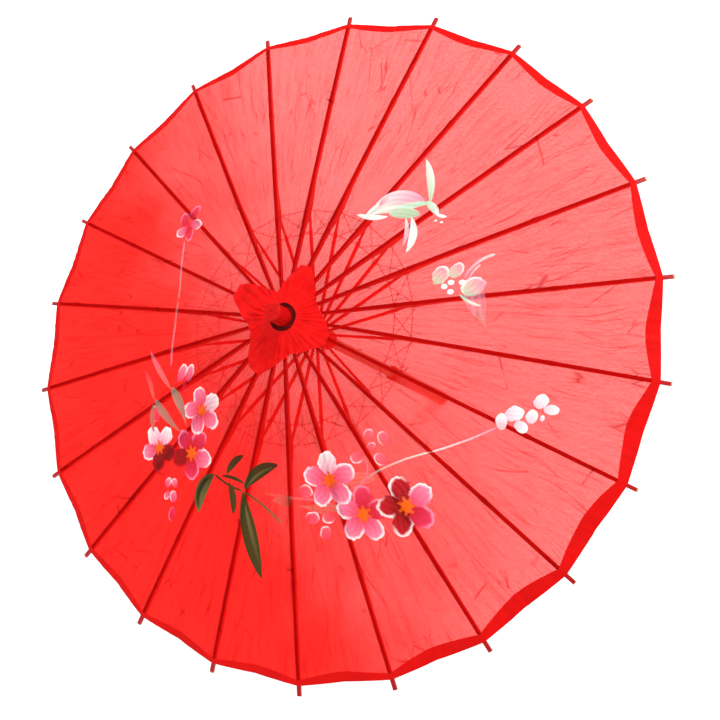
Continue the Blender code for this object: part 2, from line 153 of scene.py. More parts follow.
def grid_mesh(name, points, wrap=False):
    """A mesh over a grid of points, rows by columns, with its faces up for rows that go outward."""
    rows, columns = points.shape[:2]
    index = np.arange(rows * columns).reshape(rows, columns)
    if wrap:
        index = np.concatenate([index, index[:, :1]], axis=1)
    quads = np.stack([index[:-1, :-1], index[1:, :-1], index[1:, 1:], index[:-1, 1:]], axis=-1)
    quads = quads.reshape(-1, 4)
    mesh = bpy.data.meshes.new(name)
    mesh.vertices.add(rows * columns)
    mesh.vertices.foreach_set("co", points.reshape(-1).astype(np.float32))
    mesh.loops.add(quads.size)
    mesh.loops.foreach_set("vertex_index", quads.reshape(-1).astype(np.int32))
    mesh.polygons.add(len(quads))
    mesh.polygons.foreach_set("loop_start", np.arange(0, quads.size, 4, dtype=np.int32))
    mesh.update(calc_edges=True)
    mesh.shade_smooth()
    return mesh


def set_attribute(mesh, name, kind, values):
    """Stores one value per vertex. kind is FLOAT, FLOAT_VECTOR or FLOAT_COLOR."""
    made = mesh.attributes.new(name, kind, "POINT")
    field = {"FLOAT": "value", "FLOAT_VECTOR": "vector", "FLOAT_COLOR": "color"}[kind]
    made.data.foreach_set(field, np.ascontiguousarray(values, np.float32).reshape(-1))


def grid_normals(points):
    """Unit normals of a grid of points, rows by columns, whose last column meets the first."""
    down = np.gradient(points, axis=0)
    across = np.roll(points, -1, axis=1) - np.roll(points, 1, axis=1)
    normals = np.cross(down, across)
    return normals / np.maximum(np.linalg.norm(normals, axis=-1, keepdims=True), 1e-12)


def turned_mesh(name, profile, steps=96):
    """A turned solid from (radius, height) points in order, open nowhere when both ends are at radius 0."""
    azimuth = np.arange(steps) * 2 * math.pi / steps
    radius = np.array([point[0] for point in profile])[:, None]
    height = np.array([point[1] for point in profile])[:, None]
    points = np.stack(
        [radius * np.cos(azimuth), radius * np.sin(azimuth), height + 0 * azimuth], axis=-1
    )
    return grid_mesh(name, points, wrap=True)


def arc(centre, radius, start, end, steps=6):
    """Points on an arc in a profile, from one angle to another, in degrees."""
    angles = [math.radians(start + (end - start) * step / steps) for step in range(steps + 1)]
    return [(centre[0] + radius * math.cos(a), centre[1] + radius * math.sin(a)) for a in angles]


def tube_arrays(points, radius, sides=6):
    """Vertices and faces of a round tube along points."""
    line = np.array([list(point) for point in points], float)
    forward = np.gradient(line, axis=0)
    forward /= np.linalg.norm(forward, axis=1, keepdims=True)
    side = np.cross(forward, (0.0, 0.0, 1.0))
    weak = np.linalg.norm(side, axis=1) < 1e-6
    side[weak] = np.cross(forward[weak], (1.0, 0.0, 0.0))
    side /= np.linalg.norm(side, axis=1, keepdims=True)
    up = np.cross(side, forward)
    angle = np.arange(sides) * 2 * math.pi / sides
    ring = side[:, None] * np.cos(angle)[:, None] + up[:, None] * np.sin(angle)[:, None]
    vertices = (line[:, None] + radius * ring).reshape(-1, 3)
    faces = []
    for row in range(len(line) - 1):
        for step in range(sides):
            after = (step + 1) % sides
            first = row * sides
            second = first + sides
            faces.append((first + step, second + step, second + after, first + after))
    last = (len(line) - 1) * sides
    faces.append(tuple(reversed(range(sides))))
    faces.append(tuple(range(last, last + sides)))
    return vertices, faces


def joined_mesh(name, parts):
    """One mesh from several (vertices, faces) pairs."""
    vertices = []
    faces = []
    for part_vertices, part_faces in parts:
        base = len(vertices)
        vertices += [tuple(vertex) for vertex in part_vertices]
        faces += [tuple(base + corner for corner in face) for face in part_faces]
    mesh = bpy.data.meshes.new(name)
    mesh.from_pydata(vertices, [], faces)
    mesh.update()
    mesh.shade_smooth()
    return mesh


def waves(x, y, seed, shortest, longest, count=14):
    """A smooth random field from about -1 to 1: a sum of sine waves in random directions."""
    random = np.random.default_rng(seed)
    total = np.zeros_like(x)
    for _ in range(count):
        direction = random.uniform(0, math.pi)
        number = 2 * math.pi / random.uniform(shortest, longest)
        phase = random.uniform(0, 2 * math.pi)
        total += np.sin(number * (x * math.cos(direction) + y * math.sin(direction)) + phase)
    return total / math.sqrt(count)


# ---------------------------------------------------------------- cloth geometry


def ridge(along, lift):
    """Radius and height of the line that lies lift above a rib's top, at a distance along it."""
    beyond = np.clip(along - JOINT_ALONG, 0, None) / (RIB_LENGTH - JOINT_ALONG)
    across = RIB_TOP + lift - RIB_DROOP * beyond**2
    radius = PIVOT_RADIUS + along * COS_SLOPE + across * SIN_SLOPE
    height = HUB_Z - along * SIN_SLOPE + across * COS_SLOPE
    return radius, height


def from_rib(azimuth):
    """How far an azimuth is from its nearest rib: 0 on the rib and 1 in the middle of the bay."""
    return np.abs((azimuth + HALF_BAY) % BAY - HALF_BAY) / HALF_BAY


def cloth_points(along, azimuth, lift):
    """Points of the stretched cloth, straight from rib to rib, with its sag, dip and wrinkles."""
    share = from_rib(azimuth)
    radius, height = ridge(along, lift)
    outward = along / HEM_ALONG
    reach = math.cos(HALF_BAY) / np.cos(HALF_BAY * (1 - share))
    reach = reach - HEM_DIP * share**2 * outward**6
    radius = radius * reach
    x = radius * np.cos(azimuth)
    y = radius * np.sin(azimuth)
    slack = np.sin(share * math.pi / 2)
    side = azimuth * 0.4
    pulls = waves(side, along * 0.09, 3, 7 * MM, 26 * MM, 22)
    soft = waves(x, y, 5, 50 * MM, 160 * MM)
    fine = waves(x, y, 8, 14 * MM, 30 * MM)
    wrinkle = slack * outward**0.5 * (0.42 * pulls + 0.35 * soft + 0.07 * fine) * MM
    height = height - CLOTH_SAG * slack**2 * outward + wrinkle
    return np.stack([x, y, height], axis=-1)


def band_rows():
    """Distances along the rib for every row of the cloth, and the first row of each band."""
    rows = []
    starts = []
    for start, end in zip(BAND_ENDS, BAND_ENDS[1:]):
        count = max(2, round((end - start) / ROW_STEP))
        starts.append(len(rows))
        rows += [start + (end - start) * step / count for step in range(count)]
    starts.append(len(rows))
    rows.append(BAND_ENDS[-1])
    return np.array(rows), starts


def fold_piece(piece, rib):
    """Attaches a half bay to its rib, with a mesh of its own."""
    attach(piece, f"rib_{rib + 1:02d}")
    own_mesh(piece)


def build_cloth(look):
    """The sheer cloth, painted, in four bands of half bays."""
    rows, starts = band_rows()
    azimuth = np.arange(2 * BAYS * COLUMNS) * HALF_BAY / COLUMNS
    along, turn = np.meshgrid(rows, azimuth, indexing="ij")
    points = cloth_points(along, turn, CLOTH_LIFT)
    normals = grid_normals(points)
    canvas = Canvas(points[..., 0].reshape(-1), points[..., 1].reshape(-1))
    paint_canopy(canvas)
    cover = canvas.cover.reshape(along.shape)
    opacity = canvas.opacity.reshape(along.shape)
    colour = canvas.colour.reshape(*along.shape, 3)
    total = len(azimuth)
    for band, (start, end) in enumerate(zip(starts, starts[1:])):
        stride = BAND_COLUMN_STEPS[band]
        for rib in range(BAYS):
            for side, word in ((1, "left"), (-1, "right")):
                offsets = range(0, COLUMNS + 1, stride)
                if side < 0:
                    offsets = range(-COLUMNS, 1, stride)
                columns = [(2 * COLUMNS * rib + offset) % total for offset in offsets]
                take = np.ix_(range(start, end + 1), columns)
                name = f"cloth_{'abcd'[band]}_{rib + 1:02d}_{word}"
                mesh = grid_mesh(name, points[take])
                set_attribute(mesh, "plan", "FLOAT_VECTOR", points[take] * (1, 1, 0))
                run = np.stack([turn[take] * 0.4, along[take], 0 * along[take]], axis=-1)
                set_attribute(mesh, "run", "FLOAT_VECTOR", run)
                set_attribute(mesh, "cover", "FLOAT", cover[take])
                set_attribute(mesh, "opacity", "FLOAT", opacity[take])
                alpha = np.ones((*cover[take].shape, 1))
                paint = np.concatenate([colour[take], alpha], axis=-1)
                set_attribute(mesh, "paint", "FLOAT_COLOR", paint)
                mesh.normals_split_custom_set_from_vertices(normals[take].reshape(-1, 3))
                mesh.materials.append(look)
                piece = link_object(name, mesh)
                fold_piece(piece, rib)
    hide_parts("canopy")


def hem_width(azimuth):
    """Width of the folded hem: wide on one side of the parasol, and widest between the ribs."""
    away = (azimuth - HEM_WIDE_SIDE + math.pi) % (2 * math.pi) - math.pi
    middle = HEM_NARROW + HEM_EXTRA * np.exp(-((away / HEM_WIDE_REACH) ** 2))
    share = from_rib(azimuth)
    uneven = 1 + 0.05 * waves(azimuth * 0.4, 0 * azimuth, 21, 60 * MM, 160 * MM)
    return middle * (HEM_AT_RIB + (1 - HEM_AT_RIB) * np.sin(share * math.pi / 2)) * uneven


def build_hem(look):
    """The hem: the cloth's edge folded over and under, closed round the outside."""
    azimuth = np.arange(2 * BAYS * COLUMNS + 1) * HALF_BAY / COLUMNS
    width = hem_width(azimuth)
    steps = np.linspace(0, 1, 8)
    rows = []
    for step in steps:
        rise = HEM_LAYER * min(1, 0.35 + 4 * step)
        rows.append((HEM_ALONG - width * (1 - step), CLOTH_LIFT + rise))
    rows.append((HEM_ALONG + 0.25 * MM + 0 * width, CLOTH_LIFT))
    for step in steps[::-1]:
        rise = HEM_LAYER * min(1, 0.35 + 4 * step)
        rows.append((HEM_ALONG - width * (1 - step), CLOTH_LIFT - rise))
    points = np.array([cloth_points(along, azimuth, lift) for along, lift in rows])
    share = from_rib(azimuth)
    pucker = 0.16 * MM * waves(azimuth * 0.4, azimuth * 0, 31, 4 * MM, 9 * MM) * np.sin(share * math.pi / 2)
    points[..., 2] += pucker
    for rib in range(BAYS):
        for side, word in ((1, "left"), (-1, "right")):
            first = 2 * COLUMNS * rib if side > 0 else 2 * COLUMNS * rib - COLUMNS
            columns = [(first + step) % (2 * BAYS * COLUMNS) for step in range(COLUMNS + 1)]
            name = f"hem_{rib + 1:02d}_{word}"
            mesh = grid_mesh(name, points[:, columns])
            set_attribute(mesh, "plan", "FLOAT_VECTOR", points[:, columns] * (1, 1, 0))
            mesh.materials.append(look)
            piece = link_object(name, mesh)
            fold_piece(piece, rib)


def cap_radius(azimuth):
    """The cap's outline: four blunt corners with drawn-in sides between them."""
    stops = []
    for (corner, out), (waist, into) in zip(CAP_CORNERS, CAP_WAISTS):
        stops.append((math.radians(corner), out * MM, 1.0))
        stops.append((math.radians(waist), into * MM, 0.0))
    first = stops[0]
    stops.append((first[0] + 2 * math.pi, first[1], first[2]))
    turn = (azimuth - first[0]) % (2 * math.pi) + first[0]
    radius = np.zeros_like(turn)
    for (start, near, kind), (end, far, _) in zip(stops, stops[1:]):
        inside = (turn >= start) & (turn <= end)
        share = (turn[inside] - start) / (end - start)
        if kind:
            share = 1 - share
            near, far = far, near
        blunt = np.clip(share * 1.16, 0, 1) ** 1.7
        radius[inside] = near + (far - near) * blunt
    return radius


def build_cap(look):
    """The crumpled square top cloth, pinned under the finial, in one wedge for each rib."""
    azimuth = np.arange(BAYS * 2 * CAP_COLUMNS) * HALF_BAY / CAP_COLUMNS
    edge = cap_radius(azimuth)
    around = np.concatenate([[0], np.cumsum(np.abs(np.diff(edge)) + edge[1:] * HALF_BAY / CAP_COLUMNS)])
    teeth = np.abs((around / PINK_PITCH) % 1 - 0.5) * 2
    edge = edge + PINK_DEPTH * (teeth - 0.5)
    share = np.linspace(0, 1, CAP_ROWS)[:, None]
    radius = CAP_HOLE + (edge - CAP_HOLE) * share
    turn = azimuth + 0 * radius
    along = (radius - PIVOT_RADIUS - RIB_TOP * SIN_SLOPE) / COS_SLOPE
    flat = cloth_points(along, turn, CAP_LIFT)
    x = flat[..., 0]
    y = flat[..., 1]
    creases = np.abs(waves(turn * 0.045, radius * 0.3, 44, 9 * MM, 26 * MM, 9))
    broad = np.abs(waves(x, y, 45, 26 * MM, 60 * MM, 8))
    crumple = np.abs(waves(x, y, 46, 9 * MM, 18 * MM, 10))
    outward = np.clip((radius - CAP_HOLE) / (30 * MM), 0, 1)
    collar = 2.4 * MM * np.exp(-(((radius - CAP_HOLE) / (5 * MM)) ** 2))
    lifted = 2.2 * MM * np.clip((radius - 45 * MM) / (40 * MM), 0, 1) ** 1.5
    height = (2.2 * creases + 2.0 * broad) * MM * outward + 0.5 * MM * crumple * outward
    points = flat.copy()
    points[..., 2] += height + collar + lifted
    normals = grid_normals(points)
    total = len(azimuth)
    for rib in range(BAYS):
        first = 2 * CAP_COLUMNS * rib - CAP_COLUMNS
        columns = [(first + step) % total for step in range(2 * CAP_COLUMNS + 1)]
        name = f"cap_{rib + 1:02d}"
        mesh = grid_mesh(name, points[:, columns])
        set_attribute(mesh, "plan", "FLOAT_VECTOR", points[:, columns] * (1, 1, 0))
        mesh.normals_split_custom_set_from_vertices(normals[:, columns].reshape(-1, 3))
        mesh.materials.append(look)
        piece = link_object(name, mesh)
        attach(piece, f"rib_{rib + 1:02d}")
        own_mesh(piece)
        if rib == 0:
            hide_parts("top_cap")


# ---------------------------------------------------------------- painting on the cloth


def linear(red, green, blue):
    """A linear colour from display values of 0 to 255."""
    return np.array([(value / 255) ** 2.2 for value in (red, green, blue)])


WHITE = linear(255, 248, 246)
BLUSH = linear(242, 140, 172)
PINK = linear(226, 56, 96)
ROSE = linear(190, 8, 32)
CRIMSON = linear(128, 0, 8)
ORANGE = linear(242, 98, 6)
LEAF = linear(42, 62, 24)
LEAF_DARK = linear(20, 36, 12)
LEAF_PALE = linear(98, 110, 66)
SAGE = linear(142, 146, 126)
MINT = linear(150, 224, 184)
FEATHER = linear(244, 246, 238)


class Canvas:
    """Paint at each point of the cloth, in plan.

    cover is how far a point lies inside the nearest brush mark, in metres, negative outside.
    """

    SKIRT = 2.5 * MM

    def __init__(self, x, y):
        """An empty canvas over points at x and y, in metres."""
        self.x = x
        self.y = y
        self.cover = np.full(x.shape, -self.SKIRT)
        self.opacity = np.zeros(x.shape)
        self.colour = np.tile(WHITE, (len(x), 1))

    def near(self, low_x, high_x, low_y, high_y):
        """The points in a box and just round it."""
        edge = self.SKIRT
        inside = (self.x > low_x - edge) & (self.x < high_x + edge)
        inside &= (self.y > low_y - edge) & (self.y < high_y + edge)
        return np.nonzero(inside)[0]

    def lay(self, where, depth, colour, opacity):
        """Lays a mark over what is there: its depth, colour and opacity at the points where."""
        before = self.cover[where]
        new = (depth > 0) | (depth > before)
        target = where[new]
        blend = np.clip(0.5 + depth[new] / (0.8 * MM), 0, 1)
        blend = np.where(before[new] > 0, blend, 1.0)[:, None]
        strength = opacity[new] if isinstance(opacity, np.ndarray) else opacity
        self.colour[target] = self.colour[target] * (1 - blend) + colour[new] * blend
        mixed = self.opacity[target] * (1 - blend[:, 0]) + strength * blend[:, 0]
        self.opacity[target] = np.where(before[new] > 0, np.maximum(mixed, strength), strength)
        self.cover[target] = np.maximum(before[new], depth[new])

    def blob(self, x, y, long, wide, angle, inner, outer, rim=None, rim_side=0.0, opacity=0.9):
        """An oval petal or dot, in millimetres and degrees, shaded from inner to outer colour.

        rim is the colour of a bright line round the edge, on the side that rim_side points to.
        """
        x, y, long, wide = (value * MM for value in (x, y, long, wide))
        reach = max(long, wide)
        where = self.near(x - reach, x + reach, y - reach, y + reach)
        if not len(where):
            return
        turn = math.radians(angle)
        over_x = self.x[where] - x
        over_y = self.y[where] - y
        u = (over_x * math.cos(turn) + over_y * math.sin(turn)) / long
        v = (-over_x * math.sin(turn) + over_y * math.cos(turn)) / wide
        ragged = 1 + 0.05 * waves(over_x, over_y, round(x * 1e5) % 97 + 7, 5 * MM, 12 * MM, 6)
        rho = np.hypot(u, v) * ragged
        depth = (1 - rho) * min(long, wide)
        along = np.clip(u * 0.5 + 0.5, 0, 1)[:, None]
        streak = 0.5 + 0.5 * np.sin(v * 11 + 3 * np.sin(u * 2.3 + x * 900))
        colour = inner * (1 - along) + outer * along
        colour = colour * (0.88 + 0.12 * streak[:, None])
        strength = opacity * (0.86 + 0.14 * streak)
        if rim is not None:
            facing = 0.5 + 0.5 * np.cos(np.arctan2(v * wide, u * long) - math.radians(rim_side))
            line = 0.85 * np.clip((rho - 0.74) / 0.12, 0, 1) * np.clip(facing * 1.9 - 0.55, 0, 1)
            colour = colour * (1 - line[:, None]) + rim * line[:, None]
            strength = np.maximum(strength, line)
        self.lay(where, depth, colour, strength)

    def stroke(self, start, end, width, first, last, bend=0.0, shape="leaf", opacity=0.85, dry=0.15):
        """One brush stroke between two points, in millimetres, bowed sideways by bend of its length.

        shape sets where it is widest: leaf in the middle, drop near its end, line all along.
        """
        start = np.array(start) * MM
        end = np.array(end) * MM
        width = width * MM / 2
        chord = end - start
        bow = (start + end) / 2 + 2 * bend * np.array([-chord[1], chord[0]])
        t = np.linspace(0, 1, 25)[:, None]
        line = (1 - t) ** 2 * start + 2 * t * (1 - t) * bow + t**2 * end
        low = line.min(0) - width
        high = line.max(0) + width
        where = self.near(low[0], high[0], low[1], high[1])
        if not len(where):
            return
        x = self.x[where][:, None]
        y = self.y[where][:, None]
        a = line[:-1]
        step = line[1:] - a
        size = (step**2).sum(1)
        share = ((x - a[:, 0]) * step[:, 0] + (y - a[:, 1]) * step[:, 1]) / size
        share = np.clip(share, 0, 1)
        off_x = x - (a[:, 0] + share * step[:, 0])
        off_y = y - (a[:, 1] + share * step[:, 1])
        at = (np.arange(len(step)) + share) / len(step)
        profile = {
            "leaf": np.sin(math.pi * at) ** 0.75,
            "drop": np.sin(math.pi * at**1.8) ** 0.8,
            "line": np.clip(np.sin(math.pi * at) * 4, 0.25, 1),
        }[shape]
        distance = np.hypot(off_x, off_y)
        depth = width * profile - distance
        best = depth.argmax(axis=1)
        pick = np.arange(len(where)), best
        depth = depth[pick]
        at = at[pick]
        signed = np.sign(off_x[pick] * step[best, 1] - off_y[pick] * step[best, 0])
        across = signed * distance[pick] / width
        bristles = 0.5 + 0.5 * np.sin(across * 9 + 2.0 * np.sin(at * 5) + start[0] * 700)
        colour = first * (1 - at[:, None]) + last * at[:, None]
        colour = colour * (0.82 + 0.18 * bristles[:, None]) * (1 - 0.12 * across[:, None])
        strength = opacity * (1 - dry * (1 - bristles))
        self.lay(where, depth, np.clip(colour, 0, 1), strength)


def blossom(canvas, x, y, size, turn, tints, petals=5, opacity=0.92):
    """A five-petalled blossom: shaded petals with a bright edge, and an orange eye."""
    for petal in range(petals):
        angle = turn + 360 / petals * petal
        reach = 0.6 * size
        petal_x = x + reach * math.cos(math.radians(angle))
        petal_y = y + reach * math.sin(math.radians(angle))
        inner, outer, rim = tints[petal % len(tints)]
        canvas.blob(
            petal_x, petal_y, 0.43 * size, 0.36 * size, angle, inner, outer, rim, 40, opacity
        )
    for step in range(7):
        angle = math.radians(turn + 51 * step)
        tip = (x + 0.3 * size * math.cos(angle), y + 0.3 * size * math.sin(angle))
        canvas.stroke((x, y), tip, 0.07 * size + 0.8, ORANGE, ORANGE, shape="line", opacity=0.9)
    canvas.blob(x, y, 0.19 * size, 0.17 * size, turn, ORANGE, ORANGE * 1.1, opacity=1.0)


def faint_petal(canvas, x, y, size, angle, opacity=0.35):
    """A thin pink petal with a pale edge, as bud or background flower."""
    canvas.blob(x, y, size, 0.8 * size, angle, PINK, BLUSH, WHITE, 60, opacity)


def paint_flying_bird(canvas):
    """A pale bird in flight: streaked back, two raised wings and a short beak."""
    canvas.stroke((58, 138), (124, 160), 20, FEATHER, MINT, bend=0.1, opacity=0.95)
    canvas.stroke((64, 146), (120, 164), 18, FEATHER, BLUSH, bend=0.16, opacity=0.9)
    canvas.stroke((84, 142), (120, 146), 14, MINT, MINT * 0.86, bend=0.04, opacity=0.9, dry=0.3)
    canvas.stroke((46, 137), (84, 139), 7, FEATHER, FEATHER, bend=-0.08, opacity=0.95)
    canvas.stroke((70, 150), (80, 163), 5, BLUSH, FEATHER, bend=0.1, opacity=0.8)
    canvas.stroke((107, 217), (127, 162), 9, FEATHER, MINT * 0.95, bend=0.05, opacity=0.9)
    canvas.stroke((116, 98), (111, 141), 9, FEATHER, FEATHER, bend=-0.12, opacity=0.95)
    canvas.stroke((110, 104), (104, 140), 5, BLUSH, FEATHER, bend=-0.1, opacity=0.85)
    canvas.stroke((122, 163), (140, 148), 9, MINT, FEATHER, bend=0.06, opacity=0.95)
    canvas.stroke((136, 150), (151, 148), 4, FEATHER, FEATHER, bend=-0.1, opacity=1.0)
    for x, y in ((139, 141), (146, 140)):
        canvas.blob(x, y, 2.0, 1.3, 10, WHITE, WHITE, opacity=0.9)


def paint_resting_bird(canvas):
    """A small pale bird with long drawn feathers beside three buds."""
    canvas.stroke((222, 24), (196, 74), 22, SAGE, BLUSH, bend=0.04, shape="drop", opacity=0.62, dry=0.35)
    canvas.blob(198, 70, 14, 11, 40, MINT, BLUSH, WHITE, 90, opacity=0.8)
    canvas.stroke((184, 60), (212, 50), 4, MINT, FEATHER, bend=-0.1, opacity=0.95)
    canvas.stroke((186, 78), (214, 112), 3.2, BLUSH, FEATHER, bend=0.12, shape="line", opacity=0.7)
    canvas.stroke((190, 76), (200, 97), 2.4, BLUSH, FEATHER, bend=0.06, shape="line", opacity=0.6)
    canvas.blob(160, 78, 11, 8.5, 70, MINT, BLUSH, WHITE, 0, opacity=0.75)
    canvas.stroke((153, 66), (166, 70), 3, MINT * 0.8, MINT, opacity=0.8)
    canvas.blob(176, 86, 10, 7, 60, MINT, BLUSH, WHITE, 0, opacity=0.75)
    for x, y in ((167, 65), (173, 71), (175, 60), (185, 73)):
        canvas.blob(x, y, 3.6, 3.2, 20, WHITE, WHITE, opacity=1.0)


def paint_white_spray(canvas):
    """A long thin stem that ends in loose white petals."""
    canvas.stroke((108, -168), (186, -118), 2.0, SAGE, FEATHER, bend=0.05, shape="line", opacity=0.8)
    canvas.stroke((184, -119), (252, -78), 2.0, FEATHER, BLUSH, bend=-0.02, shape="line", opacity=0.85)
    petals = ((254, -72, 9, 6, 100), (266, -61, 10, 8, 30), (275, -74, 8, 6, -30))
    petals += ((284, -61, 8, 6, 75), (291, -43, 9, 7, 60), (303, -50, 8, 5.5, 10), (295, -61, 3.5, 2.5, 80))
    for x, y, long, wide, angle in petals:
        canvas.blob(x, y, long, wide, angle, BLUSH * 0.6 + WHITE * 0.4, WHITE, WHITE, 0, opacity=1.0)


def paint_lower_flowers(canvas):
    """Three open blossoms in a row with small outlined petals about them."""
    for x, y, size, angle in (
        (47, -186, 9, 0), (58, -214, 9, 20), (78, -210, 8, 200), (76, -227, 8, 80),
        (114, -111, 6, 60), (131, -113, 8, 120), (104, -139, 8, 200), (131, -136, 8, 150),
        (119, -124, 5, 40),
    ):
        faint_petal(canvas, x, y, size, angle)
    canvas.stroke((110, -170), (112, -136), 2.2, BLUSH, BLUSH, bend=-0.2, shape="line", opacity=0.4)
    blush = (PINK, BLUSH, WHITE)
    white = (BLUSH, WHITE, WHITE)
    rose = (ROSE, PINK, BLUSH)
    crimson = (CRIMSON, ROSE, WHITE)
    blossom(canvas, 118, -199, 31, 100, (rose, blush, blush, blush, rose), opacity=0.92)
    blossom(canvas, 166, -181, 33, 120, (crimson, crimson, crimson, rose, blush), opacity=1.0)
    blossom(canvas, 75, -169, 31, 105, (white, blush, blush, blush, blush), opacity=0.92)


def paint_upper_flowers(canvas):
    """A hanging cluster of blossoms, dark and light, with buds below."""
    blush = (PINK, BLUSH, WHITE)
    white = (BLUSH, WHITE, WHITE)
    rose = (ROSE, PINK, BLUSH)
    crimson = (CRIMSON, CRIMSON, ROSE)
    canvas.blob(-144, -75, 12, 6.5, 70, PINK, BLUSH, WHITE, 0, opacity=0.9)
    canvas.blob(-131, -74, 11, 6, 80, PINK, BLUSH, WHITE, 0, opacity=0.9)
    canvas.stroke((-137, -100), (-137, -84), 5, ROSE, PINK, opacity=0.6)
    blossom(canvas, -113, -167, 30, 60, (rose, rose, crimson, rose, blush), opacity=0.95)
    blossom(canvas, -104, -116, 28, 40, (white, blush, blush, blush, blush), opacity=0.92)
    blossom(canvas, -166, -167, 28, 60, (white, white, blush, crimson, crimson), opacity=1.0)
    for x, y, size, angle in ((-146, -206, 6.5, 60), (-136, -205, 6, 120), (-146, -221, 6, 240)):
        canvas.blob(x, y, size, 0.7 * size, angle, PINK, BLUSH, WHITE, 0, opacity=0.85)
    canvas.blob(-136, -221, 7.5, 5.5, 100, PINK, BLUSH, WHITE, 60, opacity=0.85)
    canvas.blob(-135, -242, 9, 5.5, 90, ROSE, PINK, BLUSH, 90, opacity=0.75)
    faint_petal(canvas, -178, -128, 10, 120, opacity=0.3)
    canvas.stroke((-124, -140), (-158, -94), 13, SAGE * 0.8, SAGE, bend=-0.06, shape="drop", opacity=0.8)
    canvas.stroke((-158, -96), (-205, -52), 8, SAGE, BLUSH, bend=0.03, opacity=0.55, dry=0.4)
    canvas.stroke((-128, -147), (-183, -110), 11, SAGE * 0.75, SAGE, bend=0.05, shape="drop", opacity=0.75)
    canvas.stroke((-184, -112), (-210, -76), 7, SAGE, PINK, bend=-0.04, opacity=0.5, dry=0.4)
    canvas.stroke((-178, -150), (-184, -116), 7, SAGE * 0.8, SAGE, bend=0.08, opacity=0.6)


def paint_leaves(canvas):
    """A spray of long bamboo leaves on a thin forked stem."""
    wet = {"opacity": 1.0, "dry": 0.04}
    canvas.stroke((-76, -186), (-34, -199), 2.6, LEAF_DARK, LEAF, bend=-0.06, shape="line", **wet)
    canvas.stroke((-68, -187), (-30, -192), 4.5, LEAF_DARK, LEAF, bend=0.08, **wet)
    canvas.stroke((-34, -199), (22, -228), 2.4, LEAF, LEAF_PALE, bend=0.04, shape="line", **wet)
    canvas.stroke((-76, -186), (-94, -233), 17, LEAF, LEAF_PALE, bend=-0.16, **wet)
    canvas.stroke((-78, -188), (-94, -231), 6, LEAF_DARK, LEAF, bend=-0.22, **wet)
    canvas.stroke((-59, -184), (-37, -159), 9, LEAF, LEAF_DARK, bend=0.1, **wet)
    canvas.stroke((-55, -192), (-45, -228), 10, LEAF, LEAF, bend=0.08, **wet)
    canvas.stroke((-32, -197), (10, -163), 15, LEAF, LEAF_DARK, bend=0.12, **wet)
    canvas.stroke((-30, -196), (8, -165), 3, LEAF_PALE, LEAF, bend=0.1, **wet)
    canvas.stroke((-34, -200), (0, -293), 20, LEAF, LEAF, bend=-0.03, **wet)
    canvas.stroke((-30, -212), (-1, -284), 5, LEAF_PALE, LEAF, bend=-0.02, **wet)
    canvas.stroke((-6, -197), (78, -190), 3, LEAF_PALE, BLUSH, bend=-0.03, shape="line", opacity=0.35)
    canvas.stroke((4, -205), (30, -202), 13, SAGE, LEAF, bend=0.1, shape="drop", opacity=0.45, dry=0.5)
    faint = {"shape": "drop", "opacity": 0.4, "dry": 0.5}
    canvas.stroke((36, -203), (92, -196), 12, SAGE, SAGE * 0.8, bend=-0.05, **faint)
    canvas.stroke((86, -178), (128, -158), 16, SAGE, SAGE, bend=0.1, opacity=0.3, dry=0.5)


def paint_left_stem(canvas):
    """A thin straight stem with one small pink blossom at its top."""
    canvas.stroke((-193, 92), (-174, 12), 2.6, BLUSH, SAGE, bend=0.01, shape="line", opacity=0.75)
    canvas.stroke((-174, 14), (-164, -70), 3, SAGE, BLUSH, bend=-0.01, shape="line", opacity=0.6)
    blush = (PINK, BLUSH, WHITE)
    rose = (ROSE, PINK, BLUSH)
    petals = ((-202, 118, 110), (-188, 128, 70), (-180, 112, 0), (-201, 102, 200), (-188, 100, 290))
    for x, y, angle in petals:
        inner, outer, rim = rose if angle % 20 else blush
        canvas.blob(x, y, 10, 7, angle, inner, outer, rim, 30, opacity=0.85)
    canvas.blob(-193, 112, 3, 3, 0, ROSE, PINK, opacity=0.9)


def paint_canopy(canvas):
    """All the brushwork, in the order it was laid on."""
    paint_left_stem(canvas)
    paint_leaves(canvas)
    paint_white_spray(canvas)
    paint_lower_flowers(canvas)
    paint_upper_flowers(canvas)
    paint_flying_bird(canvas)
    paint_resting_bird(canvas)


# ---------------------------------------------------------------- materials


